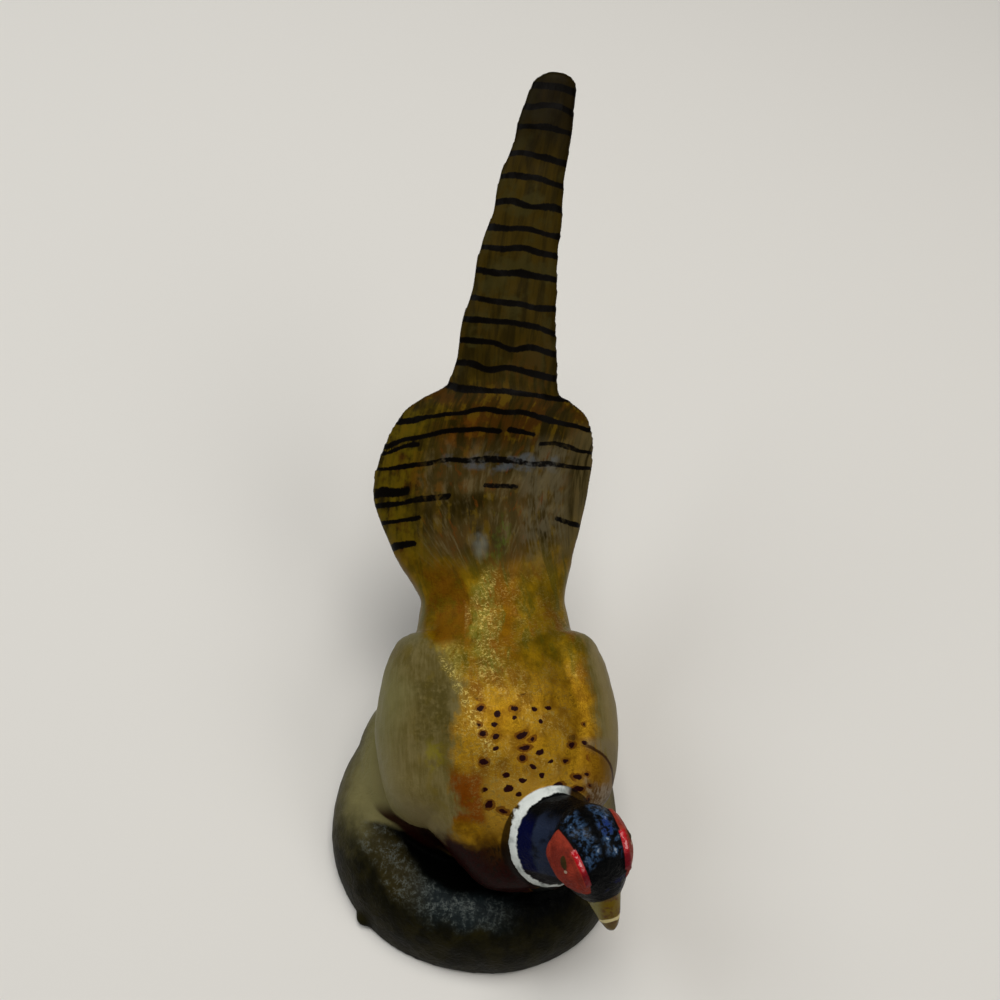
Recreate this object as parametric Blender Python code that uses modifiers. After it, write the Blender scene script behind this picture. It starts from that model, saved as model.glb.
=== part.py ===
"""Cold-painted bronze cock pheasant on a round mound, cast in one piece.

The bird leans forward on the mound with its tail raised behind it and its
head turned to its left.  +Y runs back along the tail, +Z is up, and the
origin is the centre of the mound's flat underside.  Metres throughout.

Each form (mound, body with tail, wings, neck, head, beak) is a closed loft.
The forms are fused into one skin, softened as a casting is, and cut flat
where the mound stands.
"""
import math

import bpy
import bmesh
from mathutils import Matrix, Vector

# Mound: a low round cushion with a rim, dished where the breast sinks into it, and a hump
# under the flanks.  Its reach is from the middle to the foot, every twelfth of a turn.
MOUND_REACH = (0.0203, 0.0205, 0.0209, 0.0209, 0.0209, 0.0207, 0.0212, 0.0219, 0.0219, 0.0214, 0.0219, 0.0222)
MOUND_CREST_HEIGHT = 0.0098
MOUND_CREST_SHARE = 0.70
MOUND_DISH_DEPTH = 0.0036
MOUND_DISH_SHARE = 0.40
MOUND_SQUARENESS = 2.1
SADDLE_HEIGHT = 0.0150
SADDLE_CENTRE = (-0.0022, 0.0040)
SADDLE_RADII = (0.0176, 0.0135)
SADDLE_SQUARENESS = 2.7
SADDLE_PLAN_SQUARENESS = 2.8
SUNK_DEPTH = 0.002

# Body, from the breast back to the rump
BREAST_FRONT = (0.0052, -0.0132, 0.0125)
BODY_LENGTH = 0.0350
BODY_HALF_WIDTH = 0.0138
WAIST_HALF_WIDTH = 0.0103
BODY_TURN = math.radians(15.0)
RUMP_REACH = (-0.27, 0.95, 0.32)

# Fan of tail coverts and the long tail
FAN_HALF_WIDTH = 0.0154
FAN_TURN = math.radians(10.0)
FAN_ROLL = math.radians(4.0)
TAIL_TURN = math.radians(5.0)
TAIL_BASE_HALF_WIDTH = 0.0076
TAIL_TIP_HALF_WIDTH = 0.0034
TAIL_THICKNESS = 0.0021
TAIL_TIP = (-0.0095, 0.0812, 0.0703)
TAIL_BOW = 0.0010

# Wings, folded along the flanks and standing off the rump at their tips
WING_LENGTH = 0.0258
WING_HALF_DEPTH = 0.0088
WING_HALF_THICKNESS = 0.0064
WING_SET_OFF = {-1: 0.0093, 1: 0.0086}
WING_TURN = math.radians(13.0)
WING_MIDDLE = (-0.0053, 0.0195, 0.0057)
WING_RUN = (-0.20, 0.92, 0.20)
WING_OUT = (0.96, 0.22, 0.0)

# Neck, head and beak
NECK_BASE = (0.0070, -0.0050, 0.0135)
COLLAR_CENTRE = (0.0087, -0.0084, 0.0215)
COLLAR_RADIUS = 0.0056
NECK_BASE_RADIUS = 0.0082
HEAD_CENTRE = (0.0126, -0.0099, 0.0262)
HEAD_HALF_LENGTH = 0.0068
HEAD_HALF_WIDTH = 0.0052
HEAD_HALF_DEPTH = 0.0050
HEAD_TURN = math.radians(33.0)
HEAD_DROOP = math.radians(33.0)
BEAK_LENGTH = 0.0040
BEAK_RADIUS = 0.0021

# How finely the fused skin is made
FUSE_SPACING = 0.00045
SOFTENING_STEPS = 3
SKIN_KEPT_SHARE = 0.07

RING_POINTS = 32


def smooth_rows(rows, steps):
    """Points on a smooth curve through rows of numbers, steps between each two (Catmull-Rom)."""
    result = []
    last = len(rows)-1
    for index in range(last):
        before, start = rows[max(index-1, 0)], rows[index]
        end, after = rows[index+1], rows[min(index+2, last)]
        for step in range(steps):
            t = step/steps
            result.append([
                0.5*(2*b+(c-a)*t+(2*a-5*b+4*c-d)*t*t+(3*b-a-3*c+d)*t**3)
                for a, b, c, d in zip(before, start, end, after)
            ])
    result.append(list(rows[last]))
    return result


def superellipse(angle, squareness):
    """A point of a unit superellipse: 2 is a circle, more is squarer."""
    cosine, sine = math.cos(angle), math.sin(angle)
    power = 2.0/squareness
    return (math.copysign(abs(cosine)**power, cosine), math.copysign(abs(sine)**power, sine))


def section(centre, tangent, set_at, half_width, rise, drop, arch, squareness):
    """One ring of a loft, set at a turn about Z and a roll; arch bends its two sides down."""
    turn, roll = set_at
    side = Vector((math.cos(turn)*math.cos(roll), math.sin(turn)*math.cos(roll), math.sin(roll)))
    top = side.cross(tangent).normalized()
    ring = []
    for index in range(RING_POINTS):
        across, height = superellipse(2*math.pi*index/RING_POINTS, squareness)
        lift = height*(rise if height > 0 else drop)-arch*across*across
        ring.append(centre+side*across*half_width+top*lift)
    return ring


def loft(name, rings, ends):
    """A closed form: neighbouring rings are joined, and each end is drawn to a point."""
    form = bmesh.new()
    rows = [[form.verts.new(point) for point in ring] for ring in rings]
    for row, following in zip(rows, rows[1:]):
        for index in range(RING_POINTS):
            after = (index+1) % RING_POINTS
            form.faces.new((row[index], row[after], following[after], following[index]))
    for row, end in ((rows[0], ends[0]), (rows[-1], ends[1])):
        tip = form.verts.new(end)
        for index in range(RING_POINTS):
            form.faces.new((row[index], row[(index+1) % RING_POINTS], tip))
    bmesh.ops.recalc_face_normals(form, faces=form.faces)
    mesh = bpy.data.meshes.new(name)
    form.to_mesh(mesh)
    form.free()
    return mesh


def loft_along(name, rows, steps):
    """A loft along a curve; a row is x, y, z, turn, roll, half width, rise, drop, arch, squareness."""
    fine = smooth_rows(rows, steps)
    centres = [Vector(row[:3]) for row in fine]
    rings = []
    for index, row in enumerate(fine):
        tangent = (centres[min(index+1, len(fine)-1)]-centres[max(index-1, 0)]).normalized()
        rings.append(section(centres[index], tangent, row[3:5], *row[5:]))
    return loft(name, rings, (centres[0], centres[-1]))


def body_and_tail():
    """The breast, back, rump, spread fan and long tail as one loft from front to tip."""
    breast = Vector(BREAST_FRONT)
    length = BODY_LENGTH
    tip = Vector(TAIL_TIP)
    rump = breast+Vector(RUMP_REACH)*length
    fan = rump+(tip-rump)*0.205+Vector((-0.0032, 0, 0))
    base = rump+(tip-rump)*0.415+Vector((-0.0020, 0, 0.0006))
    half = TAIL_THICKNESS/2

    def back(share, aside=0.0, lift=0.0):
        return breast+(rump-breast)*share+Vector((aside, 0, lift))

    def tail(share):
        return base+(tip-base)*share+Vector((-TAIL_BOW*math.sin(math.pi*share), 0, 0))

    width = BODY_HALF_WIDTH
    waist = WAIST_HALF_WIDTH
    taper = TAIL_BASE_HALF_WIDTH-TAIL_TIP_HALF_WIDTH
    narrow = rump+(fan-rump)*0.19+Vector((0.0008, 0, 0))
    flank = rump+(fan-rump)*0.52+Vector((-0.0001, 0, 0))
    spread = fan+(base-fan)*0.385+Vector((-0.0004, 0, 0))
    gather = fan+(base-fan)*0.755+Vector((-0.0001, 0, 0))
    pinch = fan+(base-fan)*0.94+Vector((0.0006, 0, 0))
    rows = [
        (*back(0.0, aside=0.0010), BODY_TURN, 0, width*0.10, length*0.03, length*0.03, 0, 2.0),
        (*back(0.03, aside=0.0010), BODY_TURN, 0, width*0.34, length*0.11, length*0.13, 0, 2.0),
        (*back(0.13, aside=0.0006, lift=0.0004), BODY_TURN, 0, width*0.57, length*0.18, length*0.25, 0, 2.1),
        (*back(0.32, lift=0.0012), BODY_TURN, 0, width*0.93, length*0.24, length*0.34, 0, 2.2),
        (*back(0.55, lift=0.0010), BODY_TURN, 0, width, length*0.27, length*0.38, 0, 2.2),
        (*back(0.78), BODY_TURN, 0, width*0.87, length*0.23, length*0.36, 0, 2.2),
        (*(rump+Vector((0.0007, 0, 0))), BODY_TURN, 0, waist*1.035, length*0.155, length*0.28, 0.0006, 2.1),
        (*narrow, BODY_TURN*0.9, FAN_ROLL*0.3, waist*1.01, length*0.137, length*0.24, 0.0010, 2.1),
        (*flank, FAN_TURN, FAN_ROLL*0.8, waist*1.25, length*0.105, length*0.17, 0.0020, 2.0),
        (*fan, FAN_TURN, FAN_ROLL, FAN_HALF_WIDTH, length*0.070, length*0.080, 0.0036, 2.0),
        (*spread, FAN_TURN, FAN_ROLL, FAN_HALF_WIDTH*1.005, length*0.050, length*0.042, 0.0032, 2.0),
        (*gather, FAN_TURN*0.7, FAN_ROLL*0.7, FAN_HALF_WIDTH*0.855, half*1.7, half*1.3, 0.0020, 2.0),
        (*pinch, FAN_TURN*0.6, FAN_ROLL*0.4, FAN_HALF_WIDTH*0.60, half*1.45, half*1.2, 0.0012, 2.1),
        (*tail(0.03), TAIL_TURN, 0, TAIL_BASE_HALF_WIDTH, half*1.25, half*1.1, 0.0008, 2.2),
        (*tail(0.30), TAIL_TURN, 0, TAIL_TIP_HALF_WIDTH+taper*0.66, half, half, 0.0004, 2.2),
        (*tail(0.62), TAIL_TURN, 0, TAIL_TIP_HALF_WIDTH+taper*0.33, half, half, 0.0003, 2.2),
        (*tail(0.93), TAIL_TURN, 0, TAIL_TIP_HALF_WIDTH, half*0.95, half*0.95, 0.0002, 2.2),
        (*tail(0.985), TAIL_TURN, 0, TAIL_TIP_HALF_WIDTH*0.72, half*0.85, half*0.85, 0, 2.0),
        (*tail(1.0), TAIL_TURN, 0, TAIL_TIP_HALF_WIDTH*0.30, half*0.55, half*0.55, 0, 2.0),
    ]
    return loft_along("body_form", rows, 4)


def wing(side):
    """A folded wing on one flank: side is -1 for the bird's right, +1 for its left."""
    breast = Vector(BREAST_FRONT)
    centre = breast+Vector(WING_MIDDLE)
    run = Vector(WING_RUN).normalized()
    out = Vector(WING_OUT)*side
    set_off = WING_SET_OFF[side]
    front = centre-run*WING_LENGTH*0.5+out*(set_off*0.92)
    back = centre+run*WING_LENGTH*0.5+out*set_off
    stations = (
        (0.0, 0.20), (0.04, 0.62), (0.16, 0.94), (0.45, 1.0),
        (0.72, 0.95), (0.90, 0.85), (0.97, 0.66), (1.0, 0.28),
    )
    rows = []
    for share, fullness in stations:
        bow = math.sin(math.pi*share)*BODY_HALF_WIDTH*0.13
        point = front+(back-front)*share+out*bow
        thickness, depth = WING_HALF_THICKNESS*fullness, WING_HALF_DEPTH*fullness
        rows.append((*point, WING_TURN, 0, thickness, depth, depth, 0, 2.2))
    return loft_along("wing_form", rows, 3)


def mound_plan():
    """The foot's outline, smooth all the way round through the reaches."""
    count = len(MOUND_REACH)
    plan = []
    for index in range(RING_POINTS):
        place = index*count/RING_POINTS
        spot = math.floor(place)
        t = place-spot
        a, b, c, d = (MOUND_REACH[(spot+shift) % count] for shift in (-1, 0, 1, 2))
        reach = 0.5*(2*b+(c-a)*t+(2*a-5*b+4*c-d)*t*t+(3*b-a-3*c+d)*t**3)
        angle = 2*math.pi*index/RING_POINTS
        plan.append((reach*math.cos(angle), reach*math.sin(angle)))
    return plan


def level_ring(centre, plan, share, height):
    """A level ring about a point: the plan's outline drawn in by a share."""
    return [Vector((centre[0]+x*share, centre[1]+y*share, height)) for x, y in plan]


def mound():
    """The cushion: rings from below the ground, up its side, over the rim and into the dish."""
    middle = (0, 0)
    plan = mound_plan()
    rings = [level_ring(middle, plan, 1.0, -SUNK_DEPTH)]
    for step in range(9):
        inset, height = superellipse(0.5*math.pi*step/9, MOUND_SQUARENESS)
        share = MOUND_CREST_SHARE+(1-MOUND_CREST_SHARE)*inset
        rings.append(level_ring(middle, plan, share, MOUND_CREST_HEIGHT*height))
    for step in range(6):
        part = step/5
        share = MOUND_CREST_SHARE+(MOUND_DISH_SHARE-MOUND_CREST_SHARE)*part
        sink = MOUND_DISH_DEPTH*0.5*(1-math.cos(math.pi*part))
        rings.append(level_ring(middle, plan, share, MOUND_CREST_HEIGHT-sink))
    dish_floor = MOUND_CREST_HEIGHT-MOUND_DISH_DEPTH
    return loft("mound_form", rings, (Vector((0, 0, -SUNK_DEPTH)), Vector((0, 0, dish_floor))))


def saddle():
    """The hump of the mound under the bird's flanks and rump, blunt in front."""
    plan = []
    for index in range(RING_POINTS):
        wide, deep = superellipse(2*math.pi*index/RING_POINTS, SADDLE_PLAN_SQUARENESS)
        plan.append((wide*SADDLE_RADII[0], deep*SADDLE_RADII[1]))
    rings = []
    for step in range(9):
        inset, height = superellipse(0.5*math.pi*step/9, SADDLE_SQUARENESS)
        rings.append(level_ring(SADDLE_CENTRE, plan, inset, SADDLE_HEIGHT*height))
    ends = (Vector((*SADDLE_CENTRE, 0)), Vector((*SADDLE_CENTRE, SADDLE_HEIGHT)))
    return loft("saddle_form", rings, ends)


def neck():
    """From inside the shoulders up through the collar into the head."""
    base, collar, head = Vector(NECK_BASE), Vector(COLLAR_CENTRE), Vector(HEAD_CENTRE)
    middle = base+(collar-base)*0.55
    throat = collar+(head-collar)*0.5
    stations = (
        (base, NECK_BASE_RADIUS),
        (middle, NECK_BASE_RADIUS*0.84),
        (collar, COLLAR_RADIUS),
        (throat, COLLAR_RADIUS*0.92),
        (head, HEAD_HALF_WIDTH*0.85),
    )
    rows = [(*point, HEAD_TURN, 0, radius, radius, radius, 0, 2.0) for point, radius in stations]
    return loft_along("neck_form", rows, 4)


def facing():
    """The way the beak points."""
    level = math.cos(HEAD_DROOP)
    return Vector((math.sin(HEAD_TURN)*level, -math.cos(HEAD_TURN)*level, -math.sin(HEAD_DROOP)))


def head():
    """The crown and cheeks, narrowing towards the beak."""
    centre, ahead = Vector(HEAD_CENTRE), facing()
    shape = (
        (-0.71, 0.12), (-0.63, 0.42), (-0.41, 0.76), (-0.06, 0.95),
        (0.30, 0.93), (0.68, 0.70), (0.95, 0.42), (1.02, 0.20),
    )
    rows = []
    for share, fullness in shape:
        point = centre+ahead*HEAD_HALF_LENGTH*share
        width, depth = HEAD_HALF_WIDTH*fullness, HEAD_HALF_DEPTH*fullness
        rows.append((*point, HEAD_TURN, 0, width, depth, depth*0.95, 0, 2.1))
    return loft_along("head_form", rows, 3)


def beak():
    """A short cone that bends down to its tip."""
    start = Vector(HEAD_CENTRE)+facing()*HEAD_HALF_LENGTH*0.72
    down = Vector((0, 0, -1))
    rows = []
    for share, fullness in ((0.0, 1.1), (0.35, 1.0), (0.70, 0.66), (0.93, 0.36), (1.0, 0.14)):
        reach = (BEAK_LENGTH+HEAD_HALF_LENGTH*0.28)*share
        point = start+facing()*reach+down*BEAK_LENGTH*0.14*share*share
        radius = BEAK_RADIUS*fullness
        rows.append((*point, HEAD_TURN, 0, radius, radius*1.1, radius, 0, 2.0))
    return loft_along("beak_form", rows, 3)


def fused(forms):
    """One mesh holding every form, ready to be fused into a single skin."""
    gathered = bmesh.new()
    for form in forms:
        gathered.from_mesh(form)
        bpy.data.meshes.remove(form)
    mesh = bpy.data.meshes.new("pheasant_casting")
    gathered.to_mesh(mesh)
    gathered.free()
    return mesh


def bronze():
    """Dark painted bronze."""
    material = bpy.data.materials.new("painted_bronze")
    material.use_nodes = True
    shader = material.node_tree.nodes["Principled BSDF"]
    shader.inputs["Base Color"].default_value = (0.19, 0.13, 0.05, 1.0)
    shader.inputs["Roughness"].default_value = 0.42
    shader.inputs["Metallic"].default_value = 0.35
    return material


def collection(name):
    """A new collection in the scene."""
    group = bpy.data.collections.new(name)
    bpy.context.scene.collection.children.link(group)
    return group


def ground_cutter(group):
    """A block whose top is the plane that the mound stands on."""
    form = bmesh.new()
    width = max(MOUND_REACH)*4
    depth = SUNK_DEPTH*5
    bmesh.ops.create_cube(form, size=1.0, matrix=Matrix.Diagonal((width, width, depth, 1.0)))
    bmesh.ops.translate(form, verts=form.verts, vec=(0, 0, -depth/2))
    mesh = bpy.data.meshes.new("ground_cut")
    form.to_mesh(mesh)
    form.free()
    cutter = bpy.data.objects.new("ground_cut", mesh)
    cutter.hide_render = True
    cutter.display_type = "WIRE"
    group.objects.link(cutter)
    return cutter


def build():
    """Clear the scene's objects and make the casting."""
    for item in list(bpy.data.objects):
        bpy.data.objects.remove(item, do_unlink=True)
    parts = collection("bronze_pheasant")
    cutters = collection("cutters")

    forms = [mound(), saddle(), body_and_tail(), wing(-1), wing(1), neck(), head(), beak()]
    casting = bpy.data.objects.new("pheasant_casting", fused(forms))
    parts.objects.link(casting)
    casting.data.materials.append(bronze())

    fuse = casting.modifiers.new("fuse", "REMESH")
    fuse.mode = "VOXEL"
    fuse.voxel_size = FUSE_SPACING
    fuse.use_smooth_shade = True
    soften = casting.modifiers.new("soften", "SMOOTH")
    soften.factor = 0.5
    soften.iterations = SOFTENING_STEPS
    thin = casting.modifiers.new("thin", "DECIMATE")
    thin.ratio = SKIN_KEPT_SHARE
    level = casting.modifiers.new("level", "BOOLEAN")
    level.operation = "DIFFERENCE"
    level.solver = "EXACT"
    level.object = ground_cutter(cutters)


build()
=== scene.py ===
import math

import bpy
import numpy as np
from mathutils import Matrix, Vector


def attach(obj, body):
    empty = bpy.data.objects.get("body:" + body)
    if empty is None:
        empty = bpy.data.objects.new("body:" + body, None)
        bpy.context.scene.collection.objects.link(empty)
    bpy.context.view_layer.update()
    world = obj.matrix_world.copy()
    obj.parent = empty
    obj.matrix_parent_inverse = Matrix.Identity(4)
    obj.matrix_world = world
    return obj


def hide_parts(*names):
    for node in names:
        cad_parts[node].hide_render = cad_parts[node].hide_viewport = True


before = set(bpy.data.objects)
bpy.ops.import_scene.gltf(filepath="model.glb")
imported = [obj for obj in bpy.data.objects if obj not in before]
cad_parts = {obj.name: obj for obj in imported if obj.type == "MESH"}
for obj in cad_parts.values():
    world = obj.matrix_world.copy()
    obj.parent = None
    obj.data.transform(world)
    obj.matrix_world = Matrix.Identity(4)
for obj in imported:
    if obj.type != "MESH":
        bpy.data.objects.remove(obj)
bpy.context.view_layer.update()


# The body, rump, fan and long tail.  In the real bronze they are one long form that
# leans forward, modelled in wax and cast with the rest.  Here it is rings carried back
# along the spine, from the breast to the tip of the tail, in metres.
AROUND = 72
BREAST_FRONT = np.array((0.0052, -0.0132, 0.0125))
BODY_LENGTH = 0.0350
BODY_HALF_WIDTH = 0.0138
WAIST_HALF_WIDTH = 0.0103
BODY_TURN = math.radians(15.0)
RUMP_REACH = np.array((-0.27, 0.95, 0.32))
FAN_HALF_WIDTH = 0.0154
FAN_TURN = math.radians(10.0)
FAN_ROLL = math.radians(4.0)
TAIL_TURN = math.radians(5.0)
TAIL_BASE_HALF_WIDTH = 0.0076
TAIL_TIP_HALF_WIDTH = 0.0034
TAIL_THICKNESS = 0.0021
TAIL_TIP = np.array((-0.0095, 0.0812, 0.0703))
TAIL_BOW = 0.0010
FAN_SHARE = 0.205
TAIL_BASE_SHARE = 0.415


def unit(vectors):
    """Each vector divided by its length."""
    return vectors/np.maximum(np.linalg.norm(vectors, axis=-1, keepdims=True), 1e-12)


def catmull_rom(a, b, c, d, t):
    """The cubic from b to c as t goes from 0 to 1, with slopes of half of c-a and half of d-b."""
    return 0.5*(2*b+(c-a)*t+(2*a-5*b+4*c-d)*t**2+(3*b-a-3*c+d)*t**3)


def smooth_rows(rows, steps):
    """Catmull-Rom curve through rows: each span is a cubic of its two ends and their neighbours."""
    rows = np.asarray(rows, float)
    padded = np.vstack([rows[:1], rows, rows[-1:]])
    t = (np.arange(steps)/steps)[None, :, None]
    a, b, c, d = (padded[k:k+len(rows)-1][:, None] for k in range(4))
    fine = catmull_rom(a, b, c, d, t)
    return np.vstack([fine.reshape(-1, rows.shape[1]), rows[-1:]])


def superellipse(angle, squareness):
    """Cosine and sine of the angle, each raised to 2 over the squareness with its sign kept."""
    cosine, sine = np.cos(angle), np.sin(angle)
    power = 2.0/squareness
    return np.sign(cosine)*np.abs(cosine)**power, np.sign(sine)*np.abs(sine)**power


def path_of(rows, steps):
    """The smoothed spine, with a frame at each ring.

    The side direction comes from the turn and the roll, and the top is square to it and to the run.
    """
    fine = smooth_rows(rows, steps)
    centre = fine[:, :3]
    run = unit(np.vstack([centre[1:2]-centre[:1], centre[2:]-centre[:-2], centre[-1:]-centre[-2:-1]]))
    turn, roll = fine[:, 3], fine[:, 4]
    side = np.stack([np.cos(turn)*np.cos(roll), np.sin(turn)*np.cos(roll), np.sin(roll)], 1)
    top = unit(np.cross(side, run))
    length = np.concatenate([[0.0], np.cumsum(np.linalg.norm(np.diff(centre, axis=0), axis=1))])
    return {"centre": centre, "side": side, "top": top, "ahead": np.cross(top, side),
            "length": length, "size": fine[:, 5:]}


def rings_on(path):
    """A ring at each place on the path: a superellipse as high as rise above and as drop below.

    The sides are arched down by the square of their share of the half width.
    """
    angle = 2*np.pi*np.arange(AROUND)/AROUND
    half_width, rise, drop, arch, squareness = (path["size"][:, k][:, None] for k in range(5))
    across, height = superellipse(angle[None, :], squareness)
    lift = height*np.where(height > 0, rise, drop)-arch*across**2
    return (path["centre"][:, None]+path["side"][:, None]*(across*half_width)[..., None]
            + path["top"][:, None]*lift[..., None])


def closed_form(rings, ends):
    """Vertices and faces of a closed form: a grid of rings with a point at each end."""
    count = len(rings)
    points = np.vstack([rings.reshape(-1, 3), ends])
    ring, spot = np.meshgrid(np.arange(count-1), np.arange(AROUND), indexing="ij")
    after = (spot+1) % AROUND
    quads = np.stack([ring*AROUND+spot, ring*AROUND+after, (ring+1)*AROUND+after, (ring+1)*AROUND+spot], -1)
    spot = np.arange(AROUND)
    after = (spot+1) % AROUND
    last = (count-1)*AROUND
    first_cap = np.stack([after, spot, np.full(AROUND, count*AROUND)], 1)
    last_cap = np.stack([last+spot, last+after, np.full(AROUND, count*AROUND+1)], 1)
    faces = quads.reshape(-1, 4).tolist()+first_cap.tolist()+last_cap.tolist()
    return points, faces


def body_rows():
    """Ring by ring along the back: x, y, z, turn, roll, half width, rise, drop, arch, squareness."""
    length, width, waist = BODY_LENGTH, BODY_HALF_WIDTH, WAIST_HALF_WIDTH
    rump = BREAST_FRONT+RUMP_REACH*length
    fan = rump+(TAIL_TIP-rump)*FAN_SHARE+(-0.0032, 0, 0)
    base = rump+(TAIL_TIP-rump)*TAIL_BASE_SHARE+(-0.0020, 0, 0.0006)
    narrow = rump+(fan-rump)*0.19+(0.0008, 0, 0)
    flank = rump+(fan-rump)*0.52+(-0.0001, 0, 0)
    spread = fan+(base-fan)*0.385+(-0.0004, 0, 0)
    gather = fan+(base-fan)*0.755+(-0.0001, 0, 0)
    pinch = fan+(base-fan)*0.94+(0.0006, 0, 0)
    half = TAIL_THICKNESS/2
    tip_width, taper = TAIL_TIP_HALF_WIDTH, TAIL_BASE_HALF_WIDTH-TAIL_TIP_HALF_WIDTH

    def back(share, aside=0.0, lift=0.0):
        return BREAST_FRONT+(rump-BREAST_FRONT)*share+(aside, 0, lift)

    def tail(share):
        return base+(TAIL_TIP-base)*share+(-TAIL_BOW*math.sin(math.pi*share), 0, 0)

    return [
        (*back(0.0, aside=0.0010), BODY_TURN, 0, width*0.10, length*0.03, length*0.03, 0, 2.0),
        (*back(0.03, aside=0.0010), BODY_TURN, 0, width*0.34, length*0.11, length*0.13, 0, 2.0),
        (*back(0.13, aside=0.0006, lift=0.0004), BODY_TURN, 0, width*0.57, length*0.18, length*0.25, 0, 2.1),
        (*back(0.32, lift=0.0012), BODY_TURN, 0, width*0.93, length*0.24, length*0.34, 0, 2.2),
        (*back(0.55, lift=0.0010), BODY_TURN, 0, width, length*0.27, length*0.38, 0, 2.2),
        (*back(0.78), BODY_TURN, 0, width*0.87, length*0.23, length*0.36, 0, 2.2),
        (*(rump+(0.0007, 0, 0)), BODY_TURN, 0, waist*1.035, length*0.155, length*0.28, 0.0006, 2.1),
        (*narrow, BODY_TURN*0.9, FAN_ROLL*0.3, waist*1.01, length*0.137, length*0.24, 0.0010, 2.1),
        (*flank, FAN_TURN, FAN_ROLL*0.8, waist*1.25, length*0.105, length*0.17, 0.0020, 2.0),
        (*fan, FAN_TURN, FAN_ROLL, FAN_HALF_WIDTH, length*0.070, length*0.080, 0.0036, 2.0),
        (*spread, FAN_TURN, FAN_ROLL, FAN_HALF_WIDTH*1.005, length*0.050, length*0.042, 0.0032, 2.0),
        (*gather, FAN_TURN*0.7, FAN_ROLL*0.7, FAN_HALF_WIDTH*0.855, half*1.7, half*1.3, 0.0020, 2.0),
        (*pinch, FAN_TURN*0.6, FAN_ROLL*0.4, FAN_HALF_WIDTH*0.60, half*1.45, half*1.2, 0.0012, 2.1),
        (*tail(0.03), TAIL_TURN, 0, TAIL_BASE_HALF_WIDTH, half*1.25, half*1.1, 0.0008, 2.2),
        (*tail(0.30), TAIL_TURN, 0, tip_width+taper*0.66, half, half, 0.0004, 2.2),
        (*tail(0.62), TAIL_TURN, 0, tip_width+taper*0.33, half, half, 0.0003, 2.2),
        (*tail(0.93), TAIL_TURN, 0, tip_width, half*0.95, half*0.95, 0.0002, 2.2),
        (*tail(0.985), TAIL_TURN, 0, tip_width*0.72, half*0.85, half*0.85, 0, 2.0),
        (*tail(1.0), TAIL_TURN, 0, tip_width*0.30, half*0.55, half*0.55, 0, 2.0),
    ]


def form_on(rows, steps):
    """The path of the rows and the closed form on it."""
    path = path_of(rows, steps)
    return path, closed_form(rings_on(path), path["centre"][[0, -1]])


back_path, body_form = form_on(body_rows(), 8)


# The folded wings.  Each is a long lobe laid along a flank, blunt at the shoulder and
# rounded where its tip stands off the rump, and it runs on into the body without a seam.
WING_LENGTH = 0.0258
WING_HALF_DEPTH = 0.0088
WING_HALF_THICKNESS = 0.0064
WING_SET_OFF = {-1: 0.0093, 1: 0.0086}
WING_TURN = math.radians(13.0)
WING_MIDDLE = np.array((-0.0053, 0.0195, 0.0057))
WING_RUN = np.array((-0.20, 0.92, 0.20))
WING_OUT = np.array((0.96, 0.22, 0.0))


def wing_rows(side):
    """A wing's rings from shoulder to tip: side is -1 for the bird's right and +1 for its left."""
    centre = BREAST_FRONT+WING_MIDDLE
    run = unit(WING_RUN)
    out = WING_OUT*side
    set_off = WING_SET_OFF[side]
    front = centre-run*WING_LENGTH*0.5+out*set_off*0.92
    back = centre+run*WING_LENGTH*0.5+out*set_off
    rows = []
    for share, fullness in ((0.0, 0.20), (0.04, 0.62), (0.16, 0.94), (0.45, 1.0),
                            (0.72, 0.95), (0.90, 0.85), (0.97, 0.66), (1.0, 0.28)):
        point = front+(back-front)*share+out*math.sin(math.pi*share)*BODY_HALF_WIDTH*0.13
        thickness, depth = WING_HALF_THICKNESS*fullness, WING_HALF_DEPTH*fullness
        rows.append((*point, WING_TURN, 0, thickness, depth, depth, 0, 2.2))
    return rows


right_wing_path, right_wing_form = form_on(wing_rows(-1), 6)
left_wing_path, left_wing_form = form_on(wing_rows(1), 6)


# The mound.  A round cushion of the same bronze that the bird lies on: a steep side, a
# rounded rim in front, a dish where the breast sinks in, and a hump under the flanks
# whose blunt front edge stands over the dish.
MOUND_REACH = (0.0203, 0.0205, 0.0209, 0.0209, 0.0209, 0.0207,
               0.0212, 0.0219, 0.0219, 0.0214, 0.0219, 0.0222)
MOUND_CREST_HEIGHT = 0.0098
MOUND_CREST_SHARE = 0.70
MOUND_DISH_DEPTH = 0.0036
MOUND_DISH_SHARE = 0.40
MOUND_SQUARENESS = 2.1
SIDE_RINGS = 24
DISH_RINGS = 12
SADDLE_HEIGHT = 0.0150
SADDLE_CENTRE = np.array((-0.0022, 0.0040, 0.0))
SADDLE_RADII = (0.0176, 0.0135)
SADDLE_SQUARENESS = 2.7
SADDLE_PLAN_SQUARENESS = 2.8


def mound_plan():
    """The foot's outline: its reach from the middle every twelfth of a turn, eased all the way round."""
    reach = np.asarray(MOUND_REACH)
    count = len(reach)
    place = np.arange(AROUND)*count/AROUND
    before = np.floor(place).astype(int)
    t = place-before
    a, b, c, d = (reach[(before+k) % count] for k in (-1, 0, 1, 2))
    even = catmull_rom(a, b, c, d, t)
    angle = 2*np.pi*np.arange(AROUND)/AROUND
    return np.stack([even*np.cos(angle), even*np.sin(angle)], 1)


def level_rings(centre, plan, shares, heights):
    """Level rings: the plan's outline drawn in by each share, at each height."""
    flat = plan[None]*np.asarray(shares, float)[:, None, None]
    z = np.broadcast_to(np.asarray(heights, float)[:, None, None], (len(heights), AROUND, 1))
    return centre+np.concatenate([flat, z], -1)


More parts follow.
